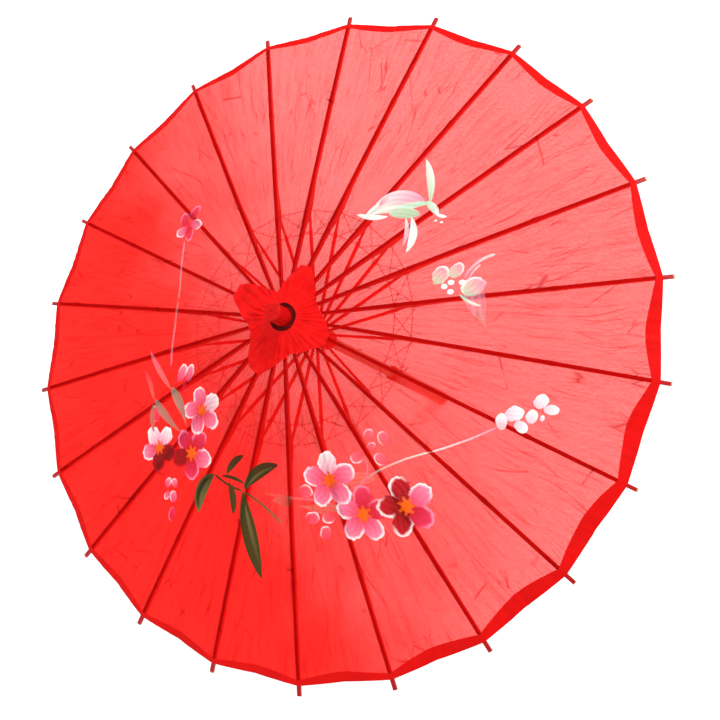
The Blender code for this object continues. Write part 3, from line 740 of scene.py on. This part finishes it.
class Look:
    """A material while it is being wired up."""

    def __init__(self, name):
        """A new material, with the shader and output nodes it starts with."""
        self.material = bpy.data.materials.new(name)
        self.material.use_nodes = True
        self.tree = self.material.node_tree
        self.shader = self.tree.nodes["Principled BSDF"]
        self.output = self.tree.nodes["Material Output"]

    def node(self, kind, **settings):
        """A new node with some of its settings."""
        made = self.tree.nodes.new(kind)
        for key, value in settings.items():
            setattr(made, key, value)
        return made

    def wire(self, source, target):
        """Links an output to an input."""
        self.tree.links.new(source, target)

    def attribute(self, name):
        """A node that reads a mesh attribute."""
        return self.node("ShaderNodeAttribute", attribute_name=name)

    def place(self, vector, scale):
        """Coordinates scaled by three factors."""
        made = self.node("ShaderNodeMapping")
        made.inputs["Scale"].default_value = scale
        self.wire(vector, made.inputs["Vector"])
        return made.outputs["Vector"]

    def own_place(self, scale=(1, 1, 1)):
        """The piece's own coordinates in metres, scaled."""
        return self.place(self.node("ShaderNodeTexCoord").outputs["Object"], scale)

    def noise(self, vector, scale, detail=3.0, roughness=0.55):
        """The value of a noise at a place."""
        made = self.node("ShaderNodeTexNoise")
        made.inputs["Scale"].default_value = scale
        made.inputs["Detail"].default_value = detail
        made.inputs["Roughness"].default_value = roughness
        self.wire(vector, made.inputs["Vector"])
        return made.outputs["Fac"]

    def hairlines(self, vector, scale, width):
        """Thin lines between random cells, 1 on the line and 0 off it."""
        cells = self.node("ShaderNodeTexVoronoi", feature="DISTANCE_TO_EDGE")
        cells.inputs["Scale"].default_value = scale
        self.wire(vector, cells.inputs["Vector"])
        return self.span(cells.outputs["Distance"], 0.0, width, 1.0, 0.0)

    def wave(self, vector, direction, scale, distortion=0.0):
        """The value of straight bands across a direction."""
        made = self.node("ShaderNodeTexWave", bands_direction=direction)
        made.inputs["Scale"].default_value = scale
        made.inputs["Distortion"].default_value = distortion
        self.wire(vector, made.inputs["Vector"])
        return made.outputs["Fac"]

    def span(self, value, low, high, to_low=0.0, to_high=1.0, smooth=False):
        """A value mapped from one range to another and clamped, eased at both ends if smooth."""
        kind = "SMOOTHSTEP" if smooth else "LINEAR"
        made = self.node("ShaderNodeMapRange", interpolation_type=kind)
        made.inputs["From Min"].default_value = low
        made.inputs["From Max"].default_value = high
        made.inputs["To Min"].default_value = to_low
        made.inputs["To Max"].default_value = to_high
        self.wire(value, made.inputs["Value"])
        return made.outputs["Result"]

    def math(self, operation, first, second):
        """The result of a sum on two values, each a socket or a number."""
        made = self.node("ShaderNodeMath", operation=operation)
        for value, socket in ((first, made.inputs[0]), (second, made.inputs[1])):
            if isinstance(value, (int, float)):
                socket.default_value = value
            else:
                self.wire(value, socket)
        return made.outputs[0]

    def mix(self, factor, first, second):
        """A mix of two colours, each a socket or three linear numbers."""
        made = self.node("ShaderNodeMix", data_type="RGBA")
        colours = [socket for socket in made.inputs if socket.type == "RGBA"]
        for value, socket in zip((first, second), colours):
            if hasattr(value, "node"):
                self.wire(value, socket)
            else:
                socket.default_value = (*[float(part) for part in value], 1)
        if hasattr(factor, "node"):
            self.wire(factor, made.inputs[0])
        else:
            made.inputs[0].default_value = factor
        return [socket for socket in made.outputs if socket.type == "RGBA"][0]

    def bump(self, height, strength, distance):
        """A normal from a height."""
        made = self.node("ShaderNodeBump")
        made.inputs["Strength"].default_value = strength
        made.inputs["Distance"].default_value = distance
        self.wire(height, made.inputs["Height"])
        return made.outputs["Normal"]

    def blend(self, factor, first, second):
        """A mix of two shaders by a number or a socket."""
        made = self.node("ShaderNodeMixShader")
        if hasattr(factor, "node"):
            self.wire(factor, made.inputs[0])
        else:
            made.inputs[0].default_value = factor
        self.wire(first, made.inputs[1])
        self.wire(second, made.inputs[2])
        return made.outputs[0]


def weave_of(look, plan, pitch):
    """Height of a plain weave of crossed threads with this pitch."""
    scale = 0.05 * 2 * math.pi / pitch
    warp = look.wave(plan, "X", scale)
    weft = look.wave(plan, "Y", scale)
    return look.math("MAXIMUM", warp, weft)


def cloth_creases(look, plan, run):
    """Fine hairlines that run mostly along the ribs, in patches."""
    warped = look.node("ShaderNodeVectorMath", operation="MULTIPLY_ADD")
    drift = look.node("ShaderNodeTexNoise")
    drift.inputs["Scale"].default_value = 5
    look.wire(plan, drift.inputs["Vector"])
    look.wire(drift.outputs["Color"], warped.inputs[0])
    warped.inputs[1].default_value = (0.07, 0.03, 0)
    look.wire(run, warped.inputs[2])
    crease = look.math(
        "MAXIMUM",
        look.hairlines(look.place(warped.outputs["Vector"], (1, 0.07, 1)), 85, 0.020),
        look.hairlines(look.place(warped.outputs["Vector"], (0.55, 0.12, 1)), 60, 0.014),
    )
    return look.math("MULTIPLY", crease, look.span(look.noise(run, 16, 2), 0.38, 0.54))


def see_through_tint(look, plan, cloud):
    """What shows through the gaps, from deep red on one side of the cloth to pale on the other: painted
    light, a ramp fixed to the cloth that stands for the light behind it.
    """
    toward = look.node("ShaderNodeVectorMath", operation="DOT_PRODUCT")
    look.wire(plan, toward.inputs[0])
    toward.inputs[1].default_value = PAINTED_LIGHT_SIDE
    uneven = look.span(cloud, 0.3, 0.7, -0.04, 0.04)
    thin = look.span(look.math("ADD", toward.outputs["Value"], uneven), -0.21, 0.16, smooth=True)
    return look.mix(thin, SEE_THROUGH_RED, SEE_THROUGH_PALE)


def cloth_openness(look, plan, weave, slubs, crease, folds):
    """How much of the cloth is gaps: less at threads, slubs, creases and folds."""
    openness = look.math("MULTIPLY", SHEER, look.span(weave, 0.2, 1.0, 1.3, 0.8))
    for pattern, low, high, at_low, at_high in (
        (slubs, 0.3, 0.75, 1.15, 0.8),
        (look.noise(plan, 330, 3, 0.7), 0.3, 0.7, 1.25, 0.75),
        (crease, 0.0, 1.0, 1.0, 0.3),
        (folds, 0.5, 0.7, 1.0, 0.7),
    ):
        openness = look.math("MULTIPLY", openness, look.span(pattern, low, high, at_low, at_high))
    return openness


def painted_cloth(look, weave, normal):
    """Cloth whose gaps are filled with paint, its threads showing faintly."""
    paint = look.node("ShaderNodeBsdfPrincipled")
    colour = look.attribute("paint").outputs["Color"]
    shade = look.mix(look.span(weave, 0.2, 0.9, 0.08, 0.0), colour, (0.55, 0.02, 0.02))
    look.wire(shade, paint.inputs["Base Color"])
    paint.inputs["Roughness"].default_value = 0.6
    paint.inputs["Specular IOR Level"].default_value = 0.12
    look.wire(normal, paint.inputs["Normal"])
    through = look.node("ShaderNodeBsdfTranslucent")
    look.wire(shade, through.inputs["Color"])
    return look.blend(0.15, paint.outputs[0], through.outputs[0])


def cloth_look():
    """Sheer red cloth: threads with open gaps between them, faint creases and folds darkened as painted
    shade, a painted light ramp in what shows through the gaps, and paint soaked in.
    """
    look = Look("sheer_cloth")
    plan = look.attribute("plan").outputs["Vector"]
    run = look.attribute("run").outputs["Vector"]
    weave = weave_of(look, plan, 0.5 * MM)
    cloud = look.noise(plan, 9, 4)
    slubs = look.noise(look.place(plan, (1, 14, 1)), 60, 2)
    folds = look.noise(look.place(run, (1, 0.12, 1)), 95, 5, 0.65)
    crease = cloth_creases(look, plan, run)
    red = look.mix(look.span(cloud, 0.35, 0.7), (0.88, 0.006, 0.004), (0.93, 0.011, 0.008))
    # Painted shade: the creases and the folds are darkened in the cloth's red
    red = look.mix(look.math("MULTIPLY", crease, 0.7), red, (0.34, 0.001, 0.001))
    red = look.mix(look.span(folds, 0.52, 0.7, 0.0, 0.6), red, (0.52, 0.002, 0.002))
    shader = look.shader
    look.wire(red, shader.inputs["Base Color"])
    shader.inputs["Roughness"].default_value = 0.62
    shader.inputs["Specular IOR Level"].default_value = 0.12
    relief = look.math("ADD", look.math("MULTIPLY", weave, 0.25), look.math("MULTIPLY", folds, 1.0))
    relief = look.math("ADD", relief, look.math("MULTIPLY", crease, 0.8))
    normal = look.bump(relief, 0.35, 0.4 * MM)
    look.wire(normal, shader.inputs["Normal"])
    through = look.node("ShaderNodeBsdfTranslucent")
    look.wire(red, through.inputs["Color"])
    solid = look.blend(TRANSLUCENT, shader.outputs[0], through.outputs[0])
    gaps = look.node("ShaderNodeBsdfTransparent")
    look.wire(see_through_tint(look, plan, cloud), gaps.inputs["Color"])
    openness = cloth_openness(look, plan, weave, slubs, crease, folds)
    sheer = look.blend(openness, solid, gaps.outputs[0])
    painted = painted_cloth(look, weave, normal)
    inside = look.span(look.attribute("cover").outputs["Fac"], -0.25 * MM, 0.35 * MM)
    strength = look.math("MULTIPLY", inside, look.attribute("opacity").outputs["Fac"])
    strength = look.math("MULTIPLY", strength, look.span(slubs, 0.25, 0.6, 0.94, 1.0))
    look.wire(look.blend(strength, sheer, painted), look.output.inputs["Surface"])
    return look.material


def hem_look():
    """The same cloth folded to two layers, which hardly lets light through."""
    look = Look("hem_cloth")
    plan = look.attribute("plan").outputs["Vector"]
    weave = weave_of(look, plan, 0.5 * MM)
    cloud = look.noise(plan, 30, 3)
    red = look.mix(look.span(cloud, 0.35, 0.7), (0.68, 0.0015, 0.001), (0.80, 0.002, 0.0015))
    red = look.mix(look.math("MULTIPLY", weave, 0.15), red, (0.95, 0.012, 0.009))
    look.wire(red, look.shader.inputs["Base Color"])
    look.shader.inputs["Roughness"].default_value = 0.6
    look.shader.inputs["Specular IOR Level"].default_value = 0.1
    relief = look.math("ADD", look.math("MULTIPLY", weave, 0.3), cloud)
    look.wire(look.bump(relief, 0.3, 0.3 * MM), look.shader.inputs["Normal"])
    through = look.node("ShaderNodeBsdfTranslucent")
    look.wire(red, through.inputs["Color"])
    surface = look.blend(0.22, look.shader.outputs[0], through.outputs[0])
    look.wire(surface, look.output.inputs["Surface"])
    return look.material


def cap_look():
    """Thicker matt cloth, crumpled, with a plain weave, and painted shade: darker red where the crumples
    dip.
    """
    look = Look("cap_cloth")
    plan = look.attribute("plan").outputs["Vector"]
    weave = weave_of(look, plan, 0.6 * MM)
    crumple = look.noise(plan, 40, 3, 0.5)
    # Painted shade: the red is darker where the crumple relief is low
    red = look.mix(look.span(crumple, 0.3, 0.7), (0.66, 0.001, 0.001), (0.90, 0.005, 0.004))
    look.wire(red, look.shader.inputs["Base Color"])
    look.shader.inputs["Roughness"].default_value = 0.7
    look.shader.inputs["Specular IOR Level"].default_value = 0.12
    relief = look.math("ADD", look.math("MULTIPLY", weave, 0.25), crumple)
    look.wire(look.bump(relief, 0.4, 0.5 * MM), look.shader.inputs["Normal"])
    through = look.node("ShaderNodeBsdfTranslucent")
    look.wire(red, through.inputs["Color"])
    surface = look.blend(0.12, look.shader.outputs[0], through.outputs[0])
    look.wire(surface, look.output.inputs["Surface"])
    return look.material


def bamboo_look(name, paint, worn):
    """Split bamboo brushed with thin paint: long fibres, brush streaks and pale worn spots."""
    look = Look(name)
    at_rest = look.own_place()
    fibre = look.noise(look.place(at_rest, (60, 60, 260)), 9, 5, 0.6)
    blotch = look.noise(at_rest, 55, 3)
    speck = look.noise(at_rest, 420, 2)
    dark = [part * 0.62 for part in paint]
    colour = look.mix(look.span(fibre, 0.3, 0.72), dark, paint)
    rubbed = look.math("MULTIPLY", look.span(blotch, 0.66, 0.74), look.span(speck, 0.45, 0.6))
    colour = look.mix(look.math("MULTIPLY", rubbed, 0.6), colour, worn)
    away = look.node("ShaderNodeVectorMath", operation="LENGTH")
    look.wire(look.own_place((1, 1, 0)), away.inputs[0])
    end = look.span(away.outputs["Value"], TIP_RADIUS - 2.6 * MM, TIP_RADIUS - 1.0 * MM)
    tip = look.math("MULTIPLY", end, look.span(look.noise(at_rest, 9, 0), 0.5, 0.56))
    colour = look.mix(tip, colour, worn)
    look.wire(colour, look.shader.inputs["Base Color"])
    rough = look.span(fibre, 0.2, 0.8, 0.38, 0.6)
    look.wire(rough, look.shader.inputs["Roughness"])
    look.shader.inputs["Specular IOR Level"].default_value = 0.2
    look.wire(look.bump(fibre, 0.5, 0.25 * MM), look.shader.inputs["Normal"])
    return look.material


def wood_look(name, pale, dark, gloss, grain=1.0, coat=0.3):
    """Turned wood or bamboo with grain along the shaft under a thin varnish."""
    look = Look(name)
    place = look.own_place()
    rings = look.noise(look.place(place, (160, 160, 7)), 2.2, 4, 0.6)
    fine = look.noise(look.place(place, (900, 900, 26)), 1.6, 3)
    colour = look.mix(look.span(rings, 0.32, 0.68), dark, pale)
    colour = look.mix(look.span(fine, 0.5, 0.75, 0.0, 0.4 * grain), colour, [part * 0.5 for part in dark])
    look.wire(colour, look.shader.inputs["Base Color"])
    look.wire(look.span(rings, 0.2, 0.8, gloss - 0.06, gloss + 0.12), look.shader.inputs["Roughness"])
    look.shader.inputs["Coat Weight"].default_value = coat
    look.shader.inputs["Specular IOR Level"].default_value = 0.5 if coat else 0.1
    look.shader.inputs["Coat Roughness"].default_value = 0.2
    look.wire(look.bump(fine, 0.25 * grain, 0.2 * MM), look.shader.inputs["Normal"])
    return look.material


def thread_look(name, dark, pale):
    """Twisted cotton thread."""
    look = Look(name)
    place = look.own_place()
    twist = look.noise(place, 1400, 2)
    colour = look.mix(look.span(twist, 0.3, 0.7), dark, pale)
    look.wire(colour, look.shader.inputs["Base Color"])
    look.shader.inputs["Roughness"].default_value = 0.85
    look.shader.inputs["Specular IOR Level"].default_value = 0.1
    look.wire(look.bump(twist, 0.6, 0.2 * MM), look.shader.inputs["Normal"])
    return look.material


def steel_look():
    """Drawn steel wire with a dull surface."""
    look = Look("pin_steel")
    scratch = look.noise(look.own_place((1, 6, 1)), 700, 2)
    colour = look.mix(look.span(scratch, 0.3, 0.7), (0.42, 0.40, 0.38), (0.62, 0.60, 0.58))
    look.wire(colour, look.shader.inputs["Base Color"])
    look.shader.inputs["Metallic"].default_value = 1.0
    look.wire(look.span(scratch, 0.2, 0.8, 0.28, 0.5), look.shader.inputs["Roughness"])
    return look.material


def floor_look():
    """Plain pale studio floor."""
    look = Look("studio_floor")
    look.shader.inputs["Base Color"].default_value = (0.92, 0.92, 0.92, 1)
    look.shader.inputs["Roughness"].default_value = 0.9
    look.shader.inputs["Specular IOR Level"].default_value = 0.1
    look.shader.inputs["Emission Color"].default_value = (1, 1, 1, 1)
    look.shader.inputs["Emission Strength"].default_value = 0.32
    return look.material


# ---------------------------------------------------------------- frame parts


def soften_group():
    """A modifier that drops a part's custom normals and shades its shallow edges smooth."""
    group = bpy.data.node_groups.new("soften", "GeometryNodeTree")
    group.interface.new_socket("Geometry", in_out="INPUT", socket_type="NodeSocketGeometry")
    group.interface.new_socket("Geometry", in_out="OUTPUT", socket_type="NodeSocketGeometry")
    nodes = group.nodes
    start = nodes.new("NodeGroupInput")
    end = nodes.new("NodeGroupOutput")
    drop = nodes.new("GeometryNodeRemoveAttribute")
    drop.inputs["Name"].default_value = "custom_normal"
    faces = nodes.new("GeometryNodeSetShadeSmooth")
    faces.domain = "FACE"
    edges = nodes.new("GeometryNodeSetShadeSmooth")
    edges.domain = "EDGE"
    angle = nodes.new("GeometryNodeInputMeshEdgeAngle")
    shallow = nodes.new("FunctionNodeCompare")
    shallow.data_type = "FLOAT"
    shallow.operation = "LESS_THAN"
    shallow.inputs[1].default_value = math.radians(33)
    links = group.links
    links.new(start.outputs[0], drop.inputs["Geometry"])
    links.new(drop.outputs["Geometry"], faces.inputs["Geometry"])
    links.new(faces.outputs["Geometry"], edges.inputs["Geometry"])
    links.new(angle.outputs["Unsigned Angle"], shallow.inputs[0])
    links.new(shallow.outputs["Result"], edges.inputs["Shade Smooth"])
    links.new(edges.outputs["Geometry"], end.inputs[0])
    return group


def refine(node, look, group, bevel):
    """Gives a CAD part its material, rounded edges and smooth shading."""
    part = frame["nodes"][node]
    part.data.materials.clear()
    part.data.materials.append(look)
    weld = part.modifiers.new("weld", "WELD")
    weld.merge_threshold = 0.002 * MM
    if bevel:
        rounding = part.modifiers.new("edges", "BEVEL")
        rounding.width = bevel
        rounding.segments = 2
        rounding.limit_method = "ANGLE"
        rounding.angle_limit = math.radians(34)
    smooth = part.modifiers.new("smooth", "NODES")
    smooth.node_group = group


def refine_frame():
    """Materials and rounded edges for every CAD part that stays in view."""
    group = soften_group()
    rib = bamboo_look("rib_bamboo", (0.48, 0.004, 0.003), (0.62, 0.36, 0.16))
    stretcher = bamboo_look("stretcher_bamboo", (0.50, 0.010, 0.006), (0.60, 0.34, 0.15))
    red_wood = wood_look("red_wood", (0.66, 0.004, 0.003), (0.42, 0.002, 0.002), 0.5, 0.6, 0.0)
    wood = wood_look("shaft_wood", (0.46, 0.24, 0.10), (0.26, 0.11, 0.045), 0.42)
    catch = wood_look("catch_bamboo", (0.66, 0.44, 0.20), (0.45, 0.26, 0.10), 0.45)
    thread = thread_look("thread", (0.30, 0.004, 0.004), (0.55, 0.012, 0.012))
    steel = steel_look()
    for index in range(1, BAYS + 1):
        refine(f"rib_{index:02d}", rib, group, 0.35 * MM)
        refine(f"stretcher_{index:02d}", stretcher, group, 0.3 * MM)
    refine("top_hub", red_wood, group, 0.15 * MM)
    refine("runner", red_wood, group, 0.15 * MM)
    refine("shaft", wood, group, 0.1 * MM)
    refine("runner_catch", catch, group, 0.25 * MM)
    refine("hub_thread", thread, group, 0)
    refine("runner_thread", thread, group, 0)
    refine("catch_pin", steel, group, 0.1 * MM)
    refine("upper_stop_pin", steel, group, 0.1 * MM)
    return thread, red_wood


def build_finial(look):
    """The turned knob on top, with a rounded shoulder, a neck and a small centre mark."""
    low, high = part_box("finial")
    radius = high.x
    top = high.z
    base = low.z
    profile = [(0, top - 1.6 * MM), (0.9 * MM, top - 1.5 * MM), (1.3 * MM, top - 0.5 * MM)]
    profile += [(1.8 * MM, top - 0.3 * MM), (5.2 * MM, top - 0.15 * MM), (8.2 * MM, top)]
    profile += arc((radius - 2.2 * MM, top - 2.2 * MM), 2.2 * MM, 80, 10, 8)
    profile += [(radius, top - 3.4 * MM), (radius - 0.25 * MM, top - 12 * MM)]
    profile += [(radius - 0.1 * MM, base + 3 * MM), (radius, base + 0.4 * MM)]
    profile += [(radius - 0.4 * MM, base), (0, base)]
    mesh = turned_mesh("finial_knob", profile[::-1])
    mesh.materials.append(look)
    mesh.set_sharp_from_angle(angle=math.radians(40))
    knob = link_object("finial_knob", mesh)
    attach(knob, "root")
    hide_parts("finial")


def build_shade_coils():
    """Near-black thread wound round the foot of the knob, where it goes through the top cloth: painted
    shade, a dark ring that stands for the shade in the gap there.
    """
    # Painted shade: near-black coils fill the gap round the knob's foot
    look = thread_look("shade_coil_thread", (0.05, 0.001, 0.001), (0.11, 0.004, 0.003))
    height = ridge(0.0, CAP_LIFT)[1]
    parts = []
    coils = ((11.9, 1.2), (13.2, 1.5), (14.5, 2.0), (15.7, 2.5), (12.6, 2.6))
    for coil, (radius, lift) in enumerate(coils):
        turns = np.linspace(0, 2 * math.pi, 73)
        wobble = 0.25 * np.sin(turns * 5 + coil * 2)
        points = np.stack(
            [
                (radius + wobble) * MM * np.cos(turns),
                (radius + wobble) * MM * np.sin(turns),
                height + (lift + 0.3 * np.sin(turns * 3 + coil)) * MM,
            ],
            axis=-1,
        )
        parts.append(tube_arrays(points, 0.75 * MM, 8))
    mesh = joined_mesh("finial_shade_coils", parts)
    mesh.materials.append(look)
    coil = link_object("finial_shade_coils", mesh)
    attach(coil, "root")


def build_handle():
    """The turned grip, with a rounded foot, two cut rings and a rounded shoulder."""
    low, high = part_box("handle")
    radius = high.x
    top = high.z
    base = low.z
    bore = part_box("shaft")[1].x + 0.3 * MM
    profile = [(0, base), (radius - 2.5 * MM, base)]
    profile += arc((radius - 2.4 * MM, base + 2.4 * MM), 2.4 * MM, -86, 0, 8)
    for ring in (15 * MM, 19 * MM):
        profile += [(radius, base + ring - 0.9 * MM)]
        profile += [(radius - 0.7 * MM, base + ring - 0.3 * MM)]
        profile += [(radius - 0.7 * MM, base + ring + 0.3 * MM)]
        profile += [(radius, base + ring + 0.9 * MM)]
    for height, waist in ((40, 0.5), (70, 0.72), (100, 0.8), (130, 0.68), (160, 0.4), (178, 0.2)):
        profile.append((radius - waist * MM, base + height * MM))
    profile += arc((radius - 2.2 * MM, top - 2.2 * MM), 2.2 * MM, 0, 88, 8)
    profile += [(bore, top), (bore, top - 6 * MM), (0, top - 6 * MM)]
    mesh = turned_mesh("handle_grip", profile)
    look = wood_look("handle_wood", (0.30, 0.105, 0.045), (0.15, 0.045, 0.02), 0.34)
    mesh.materials.append(look)
    mesh.set_sharp_from_angle(angle=math.radians(40))
    grip = link_object("handle_grip", mesh)
    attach(grip, "root")
    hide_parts("handle")


def build_threads(look):
    """The joint ring, the inner ring and the crossed laces, in one piece for each stretcher."""
    slope = math.atan2(HUB_Z - JOINT_Z, JOINT_RADIUS - PIVOT_RADIUS)
    link_length = math.hypot(HUB_Z - JOINT_Z, JOINT_RADIUS - PIVOT_RADIUS)

    def at(azimuth, radius, height):
        return np.array([radius * math.cos(azimuth), radius * math.sin(azimuth), height])

    def on_stretcher(along, across):
        radius = JOINT_RADIUS - along * math.cos(slope) - across * math.sin(slope)
        return radius, JOINT_Z - along * math.sin(slope) + across * math.cos(slope)

    outer_radius, outer_height = ridge(JOINT_ALONG + LACE_CLEAR, -9.6 * MM - RIB_TOP)
    inner_along = LACE_SHARE * link_length
    for index in range(BAYS):
        azimuth = index * BAY
        spread = -LACE_SPREAD if index % 2 == 0 else LACE_SPREAD
        ring = on_stretcher(inner_along, 0)
        own_inner = on_stretcher(inner_along + LACE_CLEAR, spread)
        next_inner = on_stretcher(inner_along + LACE_CLEAR, -spread)
        parts = []
        for side in (1, -1):
            beside = azimuth + side * BAY
            for radius, height in ((JOINT_RADIUS, JOINT_Z), ring):
                start = at(azimuth, radius, height)
                middle = (start + at(beside, radius, height)) / 2
                parts.append(tube_arrays(sagging(start, middle, 0.5), THREAD_RADIUS))
            pairs = (
                ((outer_radius, outer_height), next_inner),
                (own_inner, (outer_radius, outer_height)),
            )
            for near, far in pairs:
                start = at(azimuth, *near)
                end = at(beside, *far)
                share = near[0] / (near[0] + far[0])
                middle = start + (end - start) * share
                parts.append(tube_arrays(sagging(start, middle, 0.4), 0.9 * THREAD_RADIUS))
        mesh = joined_mesh(f"threads_{index + 1:02d}", parts)
        mesh.materials.append(look)
        piece = link_object(f"threads_{index + 1:02d}", mesh)
        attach(piece, f"stretcher_{index + 1:02d}")
        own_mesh(piece)
        if index == 0:
            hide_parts("joint_thread", "inner_thread", "lacing_thread_a", "lacing_thread_b")


def sagging(start, end, depth, steps=6):
    """Points of half a slack thread: it leaves start and is level, depth millimetres down, at end."""
    points = []
    for step in range(steps + 1):
        share = step / steps
        drop = depth * MM * (1 - (1 - share) ** 2)
        points.append(start + (end - start) * share - np.array([0, 0, drop]))
    return points


# ---------------------------------------------------------------- studio


def look_at(item, forward, up):
    """Turns a camera or light so that it points along forward."""
    forward = Vector(forward).normalized()
    right = forward.cross(Vector(up)).normalized()
    above = right.cross(forward)
    item.rotation_euler = Matrix((right, above, -forward)).transposed().to_euler()


def add_area(name, place, target, size, power):
    """A round area light at a place, turned to its target."""
    light = bpy.data.lights.new(name, "AREA")
    light.shape = "DISK"
    light.size = size
    light.energy = power
    lamp = link_object(name, light)
    lamp.location = place
    look_at(lamp, Vector(target) - Vector(place), (0, 0, 1))
    return lamp


def build_studio():
    """Pale floor, even world light, a soft key from the far right and a camera above."""
    size = 12.0
    floor_mesh = bpy.data.meshes.new("studio_floor")
    corners = [(-size, -size, 0), (size, -size, 0), (size, size, 0), (-size, size, 0)]
    floor_mesh.from_pydata(corners, [], [(0, 1, 2, 3)])
    floor_mesh.materials.append(floor_look())
    floor = link_object("studio_floor", floor_mesh)
    floor.location = (0, 0, -0.5 * MM)
    world = bpy.data.worlds.new("studio")
    bpy.context.scene.world = world
    world.use_nodes = True
    backdrop = world.node_tree.nodes["Background"]
    backdrop.inputs["Color"].default_value = (1, 1, 1, 1)
    backdrop.inputs["Strength"].default_value = 0.85
    centre = (0, 0, 0.35)
    add_area("key", (1.5, 2.0, 2.3), centre, 1.4, 75)
    add_area("fill", (-1.8, -1.4, 2.2), centre, 2.2, 16)
    camera_data = bpy.data.cameras.new("camera")
    camera_data.sensor_width = 36
    camera_data.lens = 64.2
    camera = link_object("camera", camera_data)
    camera.location = (0.7136, -0.2229, 1.7612)
    look_at(camera, (-0.4344, 0.1331, -0.8908), (-0.1219, 0.9712, 0.2046))
    bpy.context.scene.camera = camera
    bpy.context.scene.view_settings.view_transform = "Standard"


def main():
    """Builds the studio and every visible piece."""
    build_studio()
    thread, red_wood = refine_frame()
    build_cloth(cloth_look())
    build_hem(hem_look())
    build_cap(cap_look())
    build_finial(red_wood)
    build_shade_coils()
    build_handle()
    build_threads(thread)


main()
